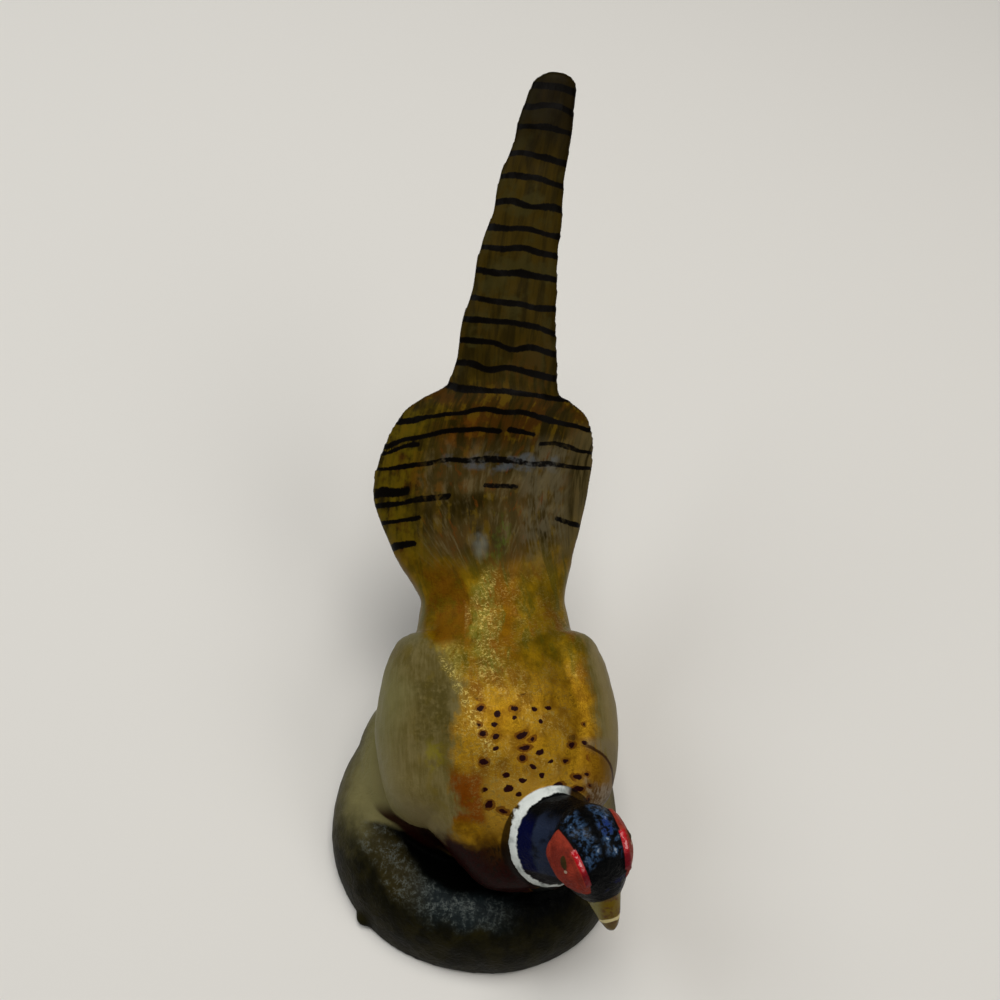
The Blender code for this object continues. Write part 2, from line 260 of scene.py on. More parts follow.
def mound_form():
    """Up the side by a superellipse from foot to rim, then a cosine slope down into the dish."""
    inset, rise = superellipse(0.5*np.pi*np.arange(SIDE_RINGS)/SIDE_RINGS, MOUND_SQUARENESS)
    side = MOUND_CREST_SHARE+(1-MOUND_CREST_SHARE)*inset
    step = np.arange(DISH_RINGS+1)/DISH_RINGS
    dish = MOUND_CREST_SHARE+(MOUND_DISH_SHARE-MOUND_CREST_SHARE)*step
    sink = MOUND_DISH_DEPTH*0.5*(1-np.cos(np.pi*step))
    height = np.concatenate([MOUND_CREST_HEIGHT*rise, MOUND_CREST_HEIGHT-sink])
    rings = level_rings(np.zeros(3), mound_plan(), np.concatenate([side, dish]), height)
    return closed_form(rings, np.array(((0, 0, 0), (0, 0, height[-1]))))


def saddle_form():
    """The hump: half of a squared ellipsoid on a squared oval."""
    inset, rise = superellipse(0.5*np.pi*np.arange(SIDE_RINGS)/SIDE_RINGS, SADDLE_SQUARENESS)
    wide, deep = superellipse(2*np.pi*np.arange(AROUND)/AROUND, SADDLE_PLAN_SQUARENESS)
    plan = np.stack([wide*SADDLE_RADII[0], deep*SADDLE_RADII[1]], 1)
    rings = level_rings(SADDLE_CENTRE, plan, inset, SADDLE_HEIGHT*rise)
    return closed_form(rings, SADDLE_CENTRE+np.array(((0, 0, 0), (0, 0, SADDLE_HEIGHT))))


# The neck, head and beak.  The neck comes up out of the shoulders towards the viewer,
# and the head turns to the bird's left and looks down past the edge of the mound.
NECK_BASE = np.array((0.0070, -0.0050, 0.0135))
COLLAR_CENTRE = np.array((0.0087, -0.0084, 0.0215))
COLLAR_RADIUS = 0.0056
NECK_BASE_RADIUS = 0.0082
HEAD_CENTRE = np.array((0.0126, -0.0099, 0.0262))
HEAD_HALF_LENGTH = 0.0068
HEAD_HALF_WIDTH = 0.0052
HEAD_HALF_DEPTH = 0.0050
HEAD_TURN = math.radians(33.0)
HEAD_DROOP = math.radians(33.0)
BEAK_LENGTH = 0.0040
BEAK_RADIUS = 0.0021
BEAK_ROOT_SHARE = 0.72
BEAK_DROP = 0.14
FACING = np.array((math.sin(HEAD_TURN)*math.cos(HEAD_DROOP), -math.cos(HEAD_TURN)*math.cos(HEAD_DROOP),
                   -math.sin(HEAD_DROOP)))


def neck_rows():
    """Round rings from inside the shoulders through the collar into the head."""
    stations = (
        (NECK_BASE, NECK_BASE_RADIUS),
        (NECK_BASE+(COLLAR_CENTRE-NECK_BASE)*0.55, NECK_BASE_RADIUS*0.84),
        (COLLAR_CENTRE, COLLAR_RADIUS),
        (COLLAR_CENTRE+(HEAD_CENTRE-COLLAR_CENTRE)*0.5, COLLAR_RADIUS*0.92),
        (HEAD_CENTRE, HEAD_HALF_WIDTH*0.85),
    )
    return [(*point, HEAD_TURN, 0, radius, radius, radius, 0, 2.0) for point, radius in stations]


def head_rows():
    """An egg: full at the cheeks and drawn in towards the beak."""
    rows = []
    for share, fullness in ((-0.71, 0.12), (-0.63, 0.42), (-0.41, 0.76), (-0.06, 0.95),
                            (0.30, 0.93), (0.68, 0.70), (0.95, 0.42), (1.02, 0.20)):
        width, depth = HEAD_HALF_WIDTH*fullness, HEAD_HALF_DEPTH*fullness
        point = HEAD_CENTRE+FACING*HEAD_HALF_LENGTH*share
        rows.append((*point, HEAD_TURN, 0, width, depth, depth*0.95, 0, 2.1))
    return rows


def beak_rows():
    """A short cone whose centre line drops by the square of its length."""
    start = HEAD_CENTRE+FACING*HEAD_HALF_LENGTH*BEAK_ROOT_SHARE
    rows = []
    for share, fullness in ((0.0, 1.1), (0.35, 1.0), (0.70, 0.66), (0.93, 0.36), (1.0, 0.14)):
        reach = (BEAK_LENGTH+HEAD_HALF_LENGTH*(1-BEAK_ROOT_SHARE))*share
        point = start+FACING*reach+np.array((0, 0, -BEAK_LENGTH*BEAK_DROP*share**2))
        radius = BEAK_RADIUS*fullness
        rows.append((*point, HEAD_TURN, 0, radius, radius*1.1, radius, 0, 2.0))
    return rows


# The casting.  All the forms are fused into one skin, softened as wax and chasing leave
# it, with the fold at the waist rubbed smooth and the nape filled.  The skin carries the
# paint's coordinates: how far back along the spine and how far across each point lies.
FUSE_SPACING = 0.00036
SOFTENING_STEPS = 5
WAIST_RUBS = 50
WAIST_FRONT = (0.009, 0.013)
WAIST_REAR = (0.024, 0.029)
WAIST_ABOVE = (0.017, 0.021)
WAIST_BESIDE = (0.0075, 0.0100)
NAPE_FILL = 1.8
NAPE_OVER_COLLAR = (0.0014, 0.0026)
NAPE_BEHIND_HEAD = (-0.0016, 0.0004)
NAPE_ABOVE = (0.021, 0.023)
LEAST_HALF_WIDTH = 0.002


def fused(name, forms):
    """One closed skin around every form: a voxel remesh, then a few steps of smoothing."""
    points, faces, start = [], [], 0
    for form_points, form_faces in forms:
        points.append(form_points)
        faces += [[index+start for index in face] for face in form_faces]
        start += len(form_points)
    rough = bpy.data.meshes.new(name+"_rough")
    rough.from_pydata(np.vstack(points), [], faces)
    holder = bpy.data.objects.new(name+"_rough", rough)
    bpy.context.scene.collection.objects.link(holder)
    fuse = holder.modifiers.new("fuse", "REMESH")
    fuse.mode = "VOXEL"
    fuse.voxel_size = FUSE_SPACING
    soften = holder.modifiers.new("soften", "SMOOTH")
    soften.iterations = SOFTENING_STEPS
    skin = bpy.data.meshes.new_from_object(holder.evaluated_get(bpy.context.evaluated_depsgraph_get()))
    bpy.data.objects.remove(holder)
    bpy.data.meshes.remove(rough)
    skin.name = name
    return skin


def places_on(points, path):
    """How far along, across and above the path each point lies, and the ring sizes there.

    Each point lies between two rings whose planes it has on either side; the nearest such pair is
    taken, and every value runs evenly between the two.
    """
    centre, ahead = path["centre"], path["ahead"]
    before = np.empty((len(points), len(centre)), np.float32)
    gap = np.empty_like(before)
    for ring in range(len(centre)):
        offset = points-centre[ring]
        before[:, ring] = offset@ahead[ring]
        gap[:, ring] = (offset**2).sum(1)
    crossing = (before[:, :-1] >= 0) & (before[:, 1:] < 0)
    ring = np.where(crossing, gap[:, :-1], np.inf).argmin(1)
    beyond = ~crossing.any(1)
    ring[beyond] = np.where(before[beyond, 0] < 0, 0, len(centre)-2)
    every = np.arange(len(points))
    low, high = before[every, ring], before[every, ring+1]
    share = np.clip(low/np.where(low-high == 0, 1, low-high), 0, 1)[:, None]

    def between(values):
        return values[ring]*(1-share)+values[ring+1]*share

    offset = points-between(centre)
    return (between(path["length"][:, None])[:, 0], (offset*between(path["side"])).sum(1),
            (offset*between(path["top"])).sum(1), between(path["size"]))


def fullness_in(points, path):
    """One on a form's own skin, less inside it and more outside: its superellipse at each point."""
    along, across, above, size = places_on(points, path)
    half_width, rise, drop, arch, squareness = size.T
    share = np.abs(across)/half_width
    lift = above+arch*np.minimum(share, 1)**2
    height = np.abs(lift)/np.where(lift > 0, rise, drop)
    ends = np.maximum(-along, along-path["length"][-1])/half_width
    return (share**squareness+height**squareness)**(1/squareness)+np.maximum(ends, 0)


def ramp(values, low, high):
    """Nought below low, one above high, and an S-shaped cubic between them."""
    share = np.clip((values-low)/(high-low), 0, 1)
    return share*share*(3-2*share)


SEED_SHIFT = 7.31
CORNER_WEIGHTS = np.array((12.9898, 78.233, 37.719))
SCATTER = 43758.5453


def lumps(points, size, seed):
    """Soft unevenness from -1 to 1: scattered values on a lattice of this size, eased between its corners.

    A corner's value is the fraction of a large multiple of the sine of its weighted sum.
    """
    place = points/size+seed*SEED_SHIFT
    corner = np.floor(place).astype(int)
    share = place-corner
    share = share*share*(3-2*share)
    total = np.zeros(len(points))
    for step in np.ndindex(2, 2, 2):
        cell = corner+step
        scattered = np.sin(cell@CORNER_WEIGHTS+seed)*SCATTER
        value = scattered-np.floor(scattered)
        weight = np.where(np.array(step) == 1, share, 1-share).prod(1)
        total += (value*2-1)*weight
    return total


def eased(mesh, values, steps):
    """Values at the points, each time drawn half way to the mean of their neighbours along the edges."""
    ends = np.empty(len(mesh.edges)*2, np.int32)
    mesh.edges.foreach_get("vertices", ends)
    first, second = ends.reshape(-1, 2).T
    neighbours = np.bincount(ends, minlength=len(values))
    for step in range(steps):
        total = np.bincount(first, values[second], len(values))
        total += np.bincount(second, values[first], len(values))
        values = 0.5*values+0.5*total/np.maximum(neighbours, 1)
    return values


forms = [mound_form(), saddle_form(), body_form, right_wing_form, left_wing_form]
forms += [form_on(rows, 6)[1] for rows in (neck_rows(), head_rows(), beak_rows())]
casting_mesh = fused("pheasant_casting_painted", forms)
skin = np.empty(len(casting_mesh.vertices)*3)
casting_mesh.vertices.foreach_get("co", skin)
skin = skin.reshape(-1, 3)
outward = np.empty(len(skin)*3)
casting_mesh.vertices.foreach_get("normal", outward)
outward = outward.reshape(-1, 3)

from_spine = np.abs(skin[:, 0]-BREAST_FRONT[0]-(skin[:, 1]-BREAST_FRONT[1])*RUMP_REACH[0]/RUMP_REACH[1])
at_waist = ramp(skin[:, 1], *WAIST_FRONT)*(1-ramp(skin[:, 1], *WAIST_REAR))*ramp(skin[:, 2], *WAIST_ABOVE)
at_waist = at_waist*(1-ramp(from_spine, *WAIST_BESIDE))
worn = np.stack([eased(casting_mesh, column, WAIST_RUBS) for column in skin.T], 1)
skin = skin+(worn-skin)*at_waist[:, None]
at_nape = ramp((skin-COLLAR_CENTRE)@unit(HEAD_CENTRE-COLLAR_CENTRE), *NAPE_OVER_COLLAR)
at_nape = at_nape*(1-ramp((skin-HEAD_CENTRE)@FACING, *NAPE_BEHIND_HEAD))*ramp(skin[:, 2], *NAPE_ABOVE)
filled = np.maximum(((worn-skin)*outward).sum(1), 0)*NAPE_FILL
skin = skin+outward*(filled*at_nape)[:, None]

along, across, above, ring_size = places_on(skin, back_path)
edge_share = across/np.maximum(ring_size[:, 0], LEAST_HALF_WIDTH)
bird = np.minimum(fullness_in(skin, back_path),
                  np.minimum(fullness_in(skin, right_wing_path), fullness_in(skin, left_wing_path)))
HEAD_SIDE = np.array((math.cos(HEAD_TURN), math.sin(HEAD_TURN), 0.0))
HEAD_TOP = np.cross(HEAD_SIDE, -FACING)
EAST = np.array((1.0, 0.0, 0.0))
COLLAR_TILT = unit(np.array((0.37, -0.47, 0.80)))
COLLAR_UP = unit(np.cross(COLLAR_TILT, EAST))
COLLAR_BAND_HALF = 0.00062
COLLAR_REACH = 0.0065
from_head = skin-HEAD_CENTRE
head_ahead, head_aside, head_up = (from_head@axis for axis in (FACING, HEAD_SIDE, HEAD_TOP))
from_collar = skin-COLLAR_CENTRE
up_neck = from_collar@COLLAR_TILT
off_neck = np.linalg.norm(from_collar-up_neck[:, None]*COLLAR_TILT, axis=1)

# The hand work on the skin, before the paint.  The modeller's fingers leave a slight
# unevenness, the tail's edges are a little scalloped, the cheeks, brow ridges, eyes and
# the thick white of the collar stand up, and a small lump of metal is left at the foot.
UNEVENNESS = 0.00016
THUMB_SIZE = 0.0060
TOOL_SIZE = 0.0021
FILE_MARK = 0.00005
FILE_SIZE = 0.0016
FLAT_BELOW = (0.0002, 0.0012)
TAIL_SCALLOP = 0.00016
TAIL_SCALLOP_PITCH = 0.0105
SCALLOPS_START = (0.064, 0.070)
SCALLOPS_END = (0.106, 0.110)
SCALLOPS_ACROSS = (0.55, 0.95)
CHEEK_RISE = 0.00022
CHEEK_TOP_BESIDE = 0.00292
CHEEK_TOP_DRAW = 0.13
CHEEK_FOOT_UP = -0.0010
CHEEK_FOOT_CURVE = 160.0
RIDGE_INSET = -0.00018
RIDGE_RISE = 0.00042
CHEEK_BACK = (-0.0041, -0.0034)
CHEEK_ABOVE = 0.020
CHEEK_OVER_COLLAR = 0.0010
RIDGE_ABOVE = 0.0010
RIDGE_START = (-0.0022, -0.0010)
RIDGE_END = (0.0028, 0.0040)
EYE_AHEAD = -0.0002
EYE_UP = 0.0026
EYE_HALF_LENGTH = 0.0009
EYE_HALF_DEPTH = 0.0006
EYE_BESIDE = 0.0030
EYE_RISE = 0.00022
COLLAR_RISE = 0.00022
COLLAR_WAVER = 0.00018
WAVER_SIZE = 0.0011
BRUSHFUL_SIZE = 0.0009
OPEN_ACROSS = (0.0002, 0.0014)
OPEN_UP = (0.0004, 0.0018)
LUMP_AT_FOOT = np.array((-0.0136, -0.0174, 0.0004))
LUMP_RADIUS = 0.0013
LUMP_RISE = 0.0010

off_foot = ramp(skin[:, 2], *FLAT_BELOW)
rise = UNEVENNESS*(lumps(skin, THUMB_SIZE, 1)+0.45*lumps(skin, TOOL_SIZE, 2))
rise = rise+FILE_MARK*lumps(skin*(3.0, 1.0, 1.0), FILE_SIZE, 3)
on_tail_edge = ramp(along, *SCALLOPS_START)*ramp(np.abs(edge_share), *SCALLOPS_ACROSS)
on_tail_edge = on_tail_edge*(1-ramp(along, *SCALLOPS_END))
wave = np.sin(2*math.pi*along/TAIL_SCALLOP_PITCH+1.3*np.sign(edge_share))
rise = rise+TAIL_SCALLOP*on_tail_edge*wave*np.where(edge_share > 0, 0.5, 1.0)

head_beside = np.abs(head_aside)
cheek_top = head_beside-(CHEEK_TOP_BESIDE-CHEEK_TOP_DRAW*head_ahead)
cheek_foot = head_up-(CHEEK_FOOT_UP+CHEEK_FOOT_CURVE*(head_ahead-EYE_AHEAD)**2)
cheek = ramp(cheek_top, -0.0002, 0.0003)*ramp(cheek_foot, -0.0003, 0.0004)
cheek = cheek*ramp(head_ahead, *CHEEK_BACK)*(skin[:, 2] > CHEEK_ABOVE)*(up_neck > CHEEK_OVER_COLLAR)
ridge = (1-ramp(np.abs(cheek_top+RIDGE_INSET), 0.0001, 0.0005))*ramp(head_ahead, *RIDGE_START)
ridge = ridge*(1-ramp(head_ahead, *RIDGE_END))*(head_up > RIDGE_ABOVE)
eye = 1-ramp(np.hypot((head_ahead-EYE_AHEAD)/EYE_HALF_LENGTH, (head_up-EYE_UP)/EYE_HALF_DEPTH), 0.5, 1.1)
eye = eye*(head_beside > EYE_BESIDE)
bare_nape = ramp(from_collar[:, 0], *OPEN_ACROSS)*ramp(from_collar@COLLAR_UP, *OPEN_UP)
off_band = np.abs(up_neck+COLLAR_WAVER*lumps(skin, WAVER_SIZE, 5))
collar = 1-ramp(off_band, COLLAR_BAND_HALF*0.75, COLLAR_BAND_HALF*1.25)
collar = collar*(off_neck < COLLAR_REACH)*(1-bare_nape)
rise = rise+CHEEK_RISE*cheek+RIDGE_RISE*ridge+EYE_RISE*eye
rise = rise+collar*COLLAR_RISE*(0.75+0.45*lumps(skin, BRUSHFUL_SIZE, 4))
foot = np.linalg.norm(skin-LUMP_AT_FOOT, axis=1)
rise = rise+LUMP_RISE*(1-ramp(foot, LUMP_RADIUS*0.3, LUMP_RADIUS*1.4))
worked = skin+outward*(rise*off_foot)[:, None]
worked[:, 2] = np.maximum(worked[:, 2], 0.0)
worked[skin[:, 2] < 0.00005, 2] = 0.0
casting_mesh.vertices.foreach_set("co", worked.ravel())
casting_mesh.update()
casting_mesh.polygons.foreach_set("use_smooth", np.ones(len(casting_mesh.polygons), bool))


def read_off(places, table):
    """The table's second column at each place, evenly between its rows."""
    return np.interp(places, *zip(*table))


def marked(mesh, name, columns):
    """Keep three values at every point of the mesh, as a vector the paint can read."""
    layer = mesh.attributes.new(name, "FLOAT_VECTOR", "POINT")
    layer.data.foreach_set("vector", np.stack(columns, 1).astype(np.float32).ravel())


# Where the painter laid things, in millimetres back along the spine.  The bars run evenly
# down the tail.  Over the fan they bow, close up and break, so each has its two ends.
EASING_STEPS = 24
BAR_END = 16.0
TAIL_BARS = (69.4, 72.3, 75.5, 78.6, 81.7, 85.8, 89.1, 92.0, 95.5, 99.1, 102.5, 106.4, 109.5, 112.3)
FAN_BARS = ((66.1, -BAR_END, BAR_END), (63.4, -BAR_END, 0.7), (63.9, 2.2, 5.6), (62.6, 7.0, BAR_END),
            (62.3, -BAR_END, -10.2), (59.2, -BAR_END, BAR_END), (55.8, -BAR_END, -10.6), (55.6, 0.3, 4.6),
            (54.4, -15.3, -4.7), (51.8, -15.0, -8.9), (51.9, 10.6, 13.8), (48.2, -13.5, -9.8))
BAR_BOW = ((46.0, 0.011), (54.0, 0.009), (56.0, 0.003), (58.0, 0.006), (61.0, 0.0115), (67.0, 0.0125),
           (70.0, 0.0))
BAR_WANDER = 0.42
BAR_WANDER_SIZE = 3.0
NO_BAR_NEAR = 9.0
WING_EDGE_ON_RIGHT = ((0.0, -1.5), (8.0, -0.84), (11.0, -0.58), (16.5, -0.57), (20.0, -0.53), (23.0, -0.44),
                      (25.0, -0.42), (28.0, -0.56), (31.3, -0.72), (34.5, -1.02), (40.0, -1.6))
WING_EDGE_ON_LEFT = ((0.0, 1.5), (8.0, 1.05), (13.0, 0.98), (18.0, 0.86), (22.0, 0.88), (30.0, 1.0),
                     (34.5, 1.12), (40.0, 1.6))
GREEN_MIDDLE = ((24.0, -1.6), (29.0, -1.5), (32.4, -2.6), (35.8, -2.4), (39.8, -1.9), (42.4, -0.6),
                (45.0, 0.7), (47.4, 2.1), (50.4, 3.0))
# The middle line of the painted highlight streak along the left of the back, in millimetres aside.
LIT_STREAK_MIDDLE = ((16.0, -2.4), (18.0, -3.0), (20.8, -4.5), (23.8, -5.6), (27.5, -6.7), (31.3, -8.0))
UPWARD = unit(np.array((0.0, -0.57, 0.82)))


def gap_to_bars(back, aside):
    """Millimetres to the nearest bar: how far off its line and beyond its ends, taken together."""
    gap = np.full(len(back), NO_BAR_NEAR)
    for place, low, high in FAN_BARS+tuple((place, -BAR_END, BAR_END) for place in TAIL_BARS):
        beyond = np.maximum(np.maximum(low-aside, aside-high), 0)
        gap = np.minimum(gap, np.hypot(back-place, beyond))
    return gap


back_at, aside_at, above_at = (eased(casting_mesh, values*1000, EASING_STEPS)
                               for values in (along, across, above))
share_at = eased(casting_mesh, edge_share, EASING_STEPS)
bowed = back_at+read_off(back_at, BAR_BOW)*aside_at**2
level = aside_at*0
ruled = np.stack([back_at, aside_at, level], 1)
bowed = bowed+BAR_WANDER*lumps(ruled, BAR_WANDER_SIZE, 6)
marked(casting_mesh, "spine", (back_at, aside_at, above_at))
marked(casting_mesh, "spread", (share_at, gap_to_bars(bowed, aside_at), bird))
marked(casting_mesh, "wings", (read_off(back_at, WING_EDGE_ON_RIGHT)-share_at,
                               share_at-read_off(back_at, WING_EDGE_ON_LEFT), outward@UPWARD))
marked(casting_mesh, "streaks", (aside_at-read_off(back_at, GREEN_MIDDLE),
                                 aside_at-read_off(back_at, LIT_STREAK_MIDDLE), up_neck*1000))
marked(casting_mesh, "strokes", (back_at*0.14, aside_at*1.1, above_at*1.1))
marked(casting_mesh, "grain", (back_at*3.6+aside_at*1.2, aside_at*2.4-back_at*1.6, above_at))
marked(casting_mesh, "feathers", (aside_at*7/np.maximum(back_at-36.0, 1.0), back_at*0.10, level))
marked(casting_mesh, "brush", (back_at*0.9, aside_at*0.3, level))
marked(casting_mesh, "dots", (back_at*0.66+0.3*lumps(ruled, 2.2, 8),
                              aside_at*0.43+0.3*lumps(ruled, 2.2, 9), level))

casting = bpy.data.objects.new("pheasant_casting_painted", casting_mesh)
bpy.context.scene.collection.objects.link(casting)
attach(casting, "root")
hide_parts("pheasant_casting")


# The cold paint.  Thin oil colours and bronze powders are brushed over the casting: gold
# on the back, olive grey on the wings, olive brown with black bars on the tail, and
# gloss black on the mound.  Every layer is laid over the one before it through a mask.
class Layer:
    """A value or colour in the paint's nodes; arithmetic on a value adds the Math nodes for it."""

    def __init__(self, tree, socket):
        self.tree = tree
        self.socket = socket

    def node(self, kind, settings, inputs, output=0):
        """A node of any kind: its settings come first, then the values or links of its sockets."""
        made = self.tree.nodes.new("ShaderNode"+kind)
        for name, value in settings.items():
            setattr(made, name, value)
        for name, value in inputs.items():
            if isinstance(value, Layer):
                self.tree.links.new(value.socket, made.inputs[name])
            else:
                made.inputs[name].default_value = value
        return Layer(self.tree, made.outputs[output])

    def maths(self, operation, *values):
        """A Math node for this operation on the values."""
        return self.node("Math", {"operation": operation}, dict(enumerate(values)))

    def __add__(self, other):
        return self.maths("ADD", self, other)

    def __radd__(self, other):
        return self.maths("ADD", other, self)

    def __sub__(self, other):
        return self.maths("SUBTRACT", self, other)

    def __rsub__(self, other):
        return self.maths("SUBTRACT", other, self)

    def __mul__(self, other):
        return self.maths("MULTIPLY", self, other)

    def __rmul__(self, other):
        return self.maths("MULTIPLY", other, self)

    def __truediv__(self, other):
        return self.maths("DIVIDE", self, other)

    def __rtruediv__(self, other):
        return self.maths("DIVIDE", other, self)

    def __abs__(self):
        return self.maths("ABSOLUTE", self)

    def most(self, other):
        """The greater of this value and another."""
        return self.maths("MAXIMUM", self, other)

    def frayed(self, noise, reach):
        """This value pushed about by a noise, by half the reach to either side."""
        return self+(noise-0.5)*reach

    def step(self, low, high):
        """Nought at low, one at high, eased between; low may be the greater."""
        return self.node("MapRange", {"interpolation_type": "SMOOTHSTEP"},
                         {"Value": self, "From Min": low, "From Max": high})

    def band(self, low, high, soft):
        """One between low and high, with soft edges outside them."""
        return self.step(low-soft, low)*self.step(high+soft, high)

    def axes(self):
        """The three values of a vector."""
        apart = self.tree.nodes.new("ShaderNodeSeparateXYZ")
        self.tree.links.new(self.socket, apart.inputs[0])
        return [Layer(self.tree, socket) for socket in apart.outputs]

    def noise(self, scale, detail=2.0, roughness=0.5, distortion=0.0):
        """Cloudy noise from 0 to 1 at this place."""
        return self.node("TexNoise", {}, {"Vector": self, "Scale": scale, "Detail": detail,
                                          "Roughness": roughness, "Distortion": distortion})

    def under(self, colour, mask):
        """This colour with another laid over it where the mask is one."""
        return self.node("Mix", {"data_type": "RGBA"}, {0: mask, 6: self, 7: colour}, output=2)

    def blended(self, value, mask):
        """This value drawn to another one where the mask is one."""
        return self.node("Mix", {"data_type": "FLOAT"}, {0: mask, 2: self, 3: value})


def pigment(red, green, blue):
    """A paint's colour from the eight-bit values that a paint chart gives, made linear."""
    parts = np.array((red, green, blue))/255.0
    linear = np.where(parts <= 0.04045, parts/12.92, ((parts+0.055)/1.055)**2.4)
    return (*linear.tolist(), 1.0)


paint = bpy.data.materials.new("painted_bronze_cold_paint")
paint.use_nodes = True
tree = paint.node_tree
tree.nodes.clear()
finish = tree.nodes.new("ShaderNodeBsdfPrincipled")
output = tree.nodes.new("ShaderNodeOutputMaterial")
tree.links.new(finish.outputs[0], output.inputs[0])
start = Layer(tree, None)

place = start.node("TexCoord", {}, {}, output=3)


def kept(name):
    """The three values kept at every point of the casting under this name."""
    return start.node("Attribute", {"attribute_name": name}, {})


back_mm, aside_mm, above_mm = kept("spine").axes()
share, bar_gap, bird_skin = kept("spread").axes()
right, left, upward = kept("wings").axes()
green_gap, lit_streak_gap, neck_mm = kept("streaks").axes()
east_mm, north_mm, height_mm = (axis*1000 for axis in place.axes())


def measured(origin, direction):
    """Millimetres from the origin along the direction."""
    shifted = start.node("VectorMath", {"operation": "SUBTRACT"}, {0: place, 1: tuple(origin)})
    dot_product = {"operation": "DOT_PRODUCT"}
    return start.node("VectorMath", dot_product, {0: shifted, 1: tuple(direction)}, output=1)*1000


def length_of(x, y):
    """The length of a flat vector of two values."""
    flat = start.node("CombineXYZ", {}, {0: x, 1: y})
    return start.node("VectorMath", {"operation": "LENGTH"}, {0: flat}, output=1)


def mixed(first, second, mask):
    """Two pigments mixed by a mask."""
    return start.node("Mix", {"data_type": "RGBA"}, {0: mask, 6: first, 7: second}, output=2)


# The brushwork's own unevenness, each a noise from 0 to 1.  Some lie in space and some run
# with the strokes.  Below, lengths are in millimetres back along, aside from and above the
# spine, or ahead of, beside and over the middle of the head.
cloud = place.noise(scale=180.0, detail=3.0, roughness=0.55)
mottle = place.noise(scale=420.0, detail=3.0, roughness=0.6)
speck = place.noise(scale=1500.0, detail=2.0, roughness=0.6)
crinkle = place.noise(scale=640.0, detail=4.0, roughness=0.7, distortion=1.4)
stroke = kept("strokes").noise(scale=0.7, detail=4.0, roughness=0.6, distortion=0.3)
fine_stroke = kept("strokes").noise(scale=2.4, detail=3.0, roughness=0.6)
wander = kept("spine").noise(scale=0.45, detail=2.0)
grain = kept("grain").noise(scale=1.0, detail=3.0, roughness=0.6, distortion=1.0)
on_bird = bird_skin.step(1.36, 1.20)
on_top = upward.step(-0.30, 0.05)*on_bird

# Gloss black over the mound, rubbed through to olive brown on its outer side.  Along the crest,
# olive, grey and silver flecks are painted in as highlights where the crest catches the light.
GLOSS_BLACK = pigment(3, 4, 3)
RUBBED_OLIVE = pigment(31, 28, 9)
CREST_SHEEN_OLIVE = pigment(58, 51, 24)
CREST_SHEEN_GREY = pigment(34, 42, 44)
PAINTED_CREST_GLINT = pigment(92, 98, 94)
OUTER_SIDE = (16.0, 19.5)
CREST_BAND = (14.9, 17.2, 1.7)

from_axis = length_of(east_mm, north_mm)
outer_side = from_axis.frayed(cloud, 7).frayed(crinkle, 3).step(*OUTER_SIDE)
rubbed = outer_side*(0.35+0.65*mottle.step(0.35, 0.65))
colour = mixed(GLOSS_BLACK, RUBBED_OLIVE, rubbed)
# Painted highlights: olive to grey sheen and silver glint lines along the crest, where the lamps' shine
# falls.
crest = from_axis.frayed(cloud, 4).band(*CREST_BAND)*north_mm.step(-4.0, -9.0)*east_mm.step(8.0, 1.0)
glint_noise = place.noise(scale=1150.0, detail=4.0, roughness=0.7, distortion=0.8)
glint_lines = abs(glint_noise-0.5).step(0.055, 0.0)+abs(crinkle-0.5).step(0.05, 0.0)
crest_sheen_tone = mixed(CREST_SHEEN_OLIVE, CREST_SHEEN_GREY, east_mm.step(-10.0, -4.0))
colour = colour.under(crest_sheen_tone, crest*(0.3+speck)*0.75)
colour = colour.under(PAINTED_CREST_GLINT, crest*glint_lines*(mottle*0.5+speck*0.5).step(0.44, 0.60)*0.5)
gloss = outer_side*0.15+0.30

# Olive grey thinned down the wings and on over the flanks of the mound, with a dark red
# line where it ends over the dish.
WING_OLIVE = pigment(84, 73, 32)
WING_GREY = pigment(106, 95, 57)
WING_STROKE = pigment(76, 66, 24)
OLD_GOLD = pigment(92, 78, 18)
LEAF_YELLOW = pigment(108, 98, 12)
SHADED_OLIVE = pigment(66, 57, 14)
THIN_GREY = pigment(122, 110, 74)
RIGHT_EDGE_GREY = pigment(120, 116, 74)
LEFT_EDGE_GREY = pigment(126, 112, 76)
FLANK_OLIVE = pigment(48, 42, 16)
FOOT_OLIVE = pigment(30, 28, 16)
DARK_RED = pigment(34, 7, 4)

inner_edge = north_mm.frayed(cloud, 1.5).step(-7.4, -6.6)
outer_edge = north_mm.frayed(cloud, 6).frayed(mottle, 3).step(-12.0, -3.0)
flank_paint = inner_edge.blended(outer_edge, from_axis.step(15.5, 18.0))
flank_paint = flank_paint*north_mm.frayed(cloud, 5).step(17.0, 11.0)
flank_paint = flank_paint*height_mm.frayed(cloud, 3).step(0.2, 3.0)
wing_mask = on_bird.most(flank_paint)
grey = mixed(WING_OLIVE, WING_GREY, (fine_stroke*0.5+mottle*0.5).step(0.36, 0.64))
grey = grey.under(WING_STROKE, stroke.step(0.50, 0.66)*0.45)
grey = grey.under(OLD_GOLD, wander.frayed(mottle, 0.4).step(0.52, 0.66)*right.step(0.55, 0.20)*0.6)
leafy = aside_mm.frayed(mottle, 3).band(-9.9, -9.1, 0.9)*back_mm.frayed(cloud, 5).band(16.5, 18.5, 1.8)
grey = grey.under(LEAF_YELLOW, leafy*(speck*0.4+mottle*0.6).step(0.42, 0.58)*0.75)
shaded = aside_mm.frayed(mottle, 4).band(-11.0, -7.6, 1.6)*back_mm.frayed(cloud, 6).band(20.0, 26.0, 2.5)
grey = grey.under(SHADED_OLIVE, shaded*(mottle*0.5+speck*0.5).step(0.40, 0.58)*0.75)
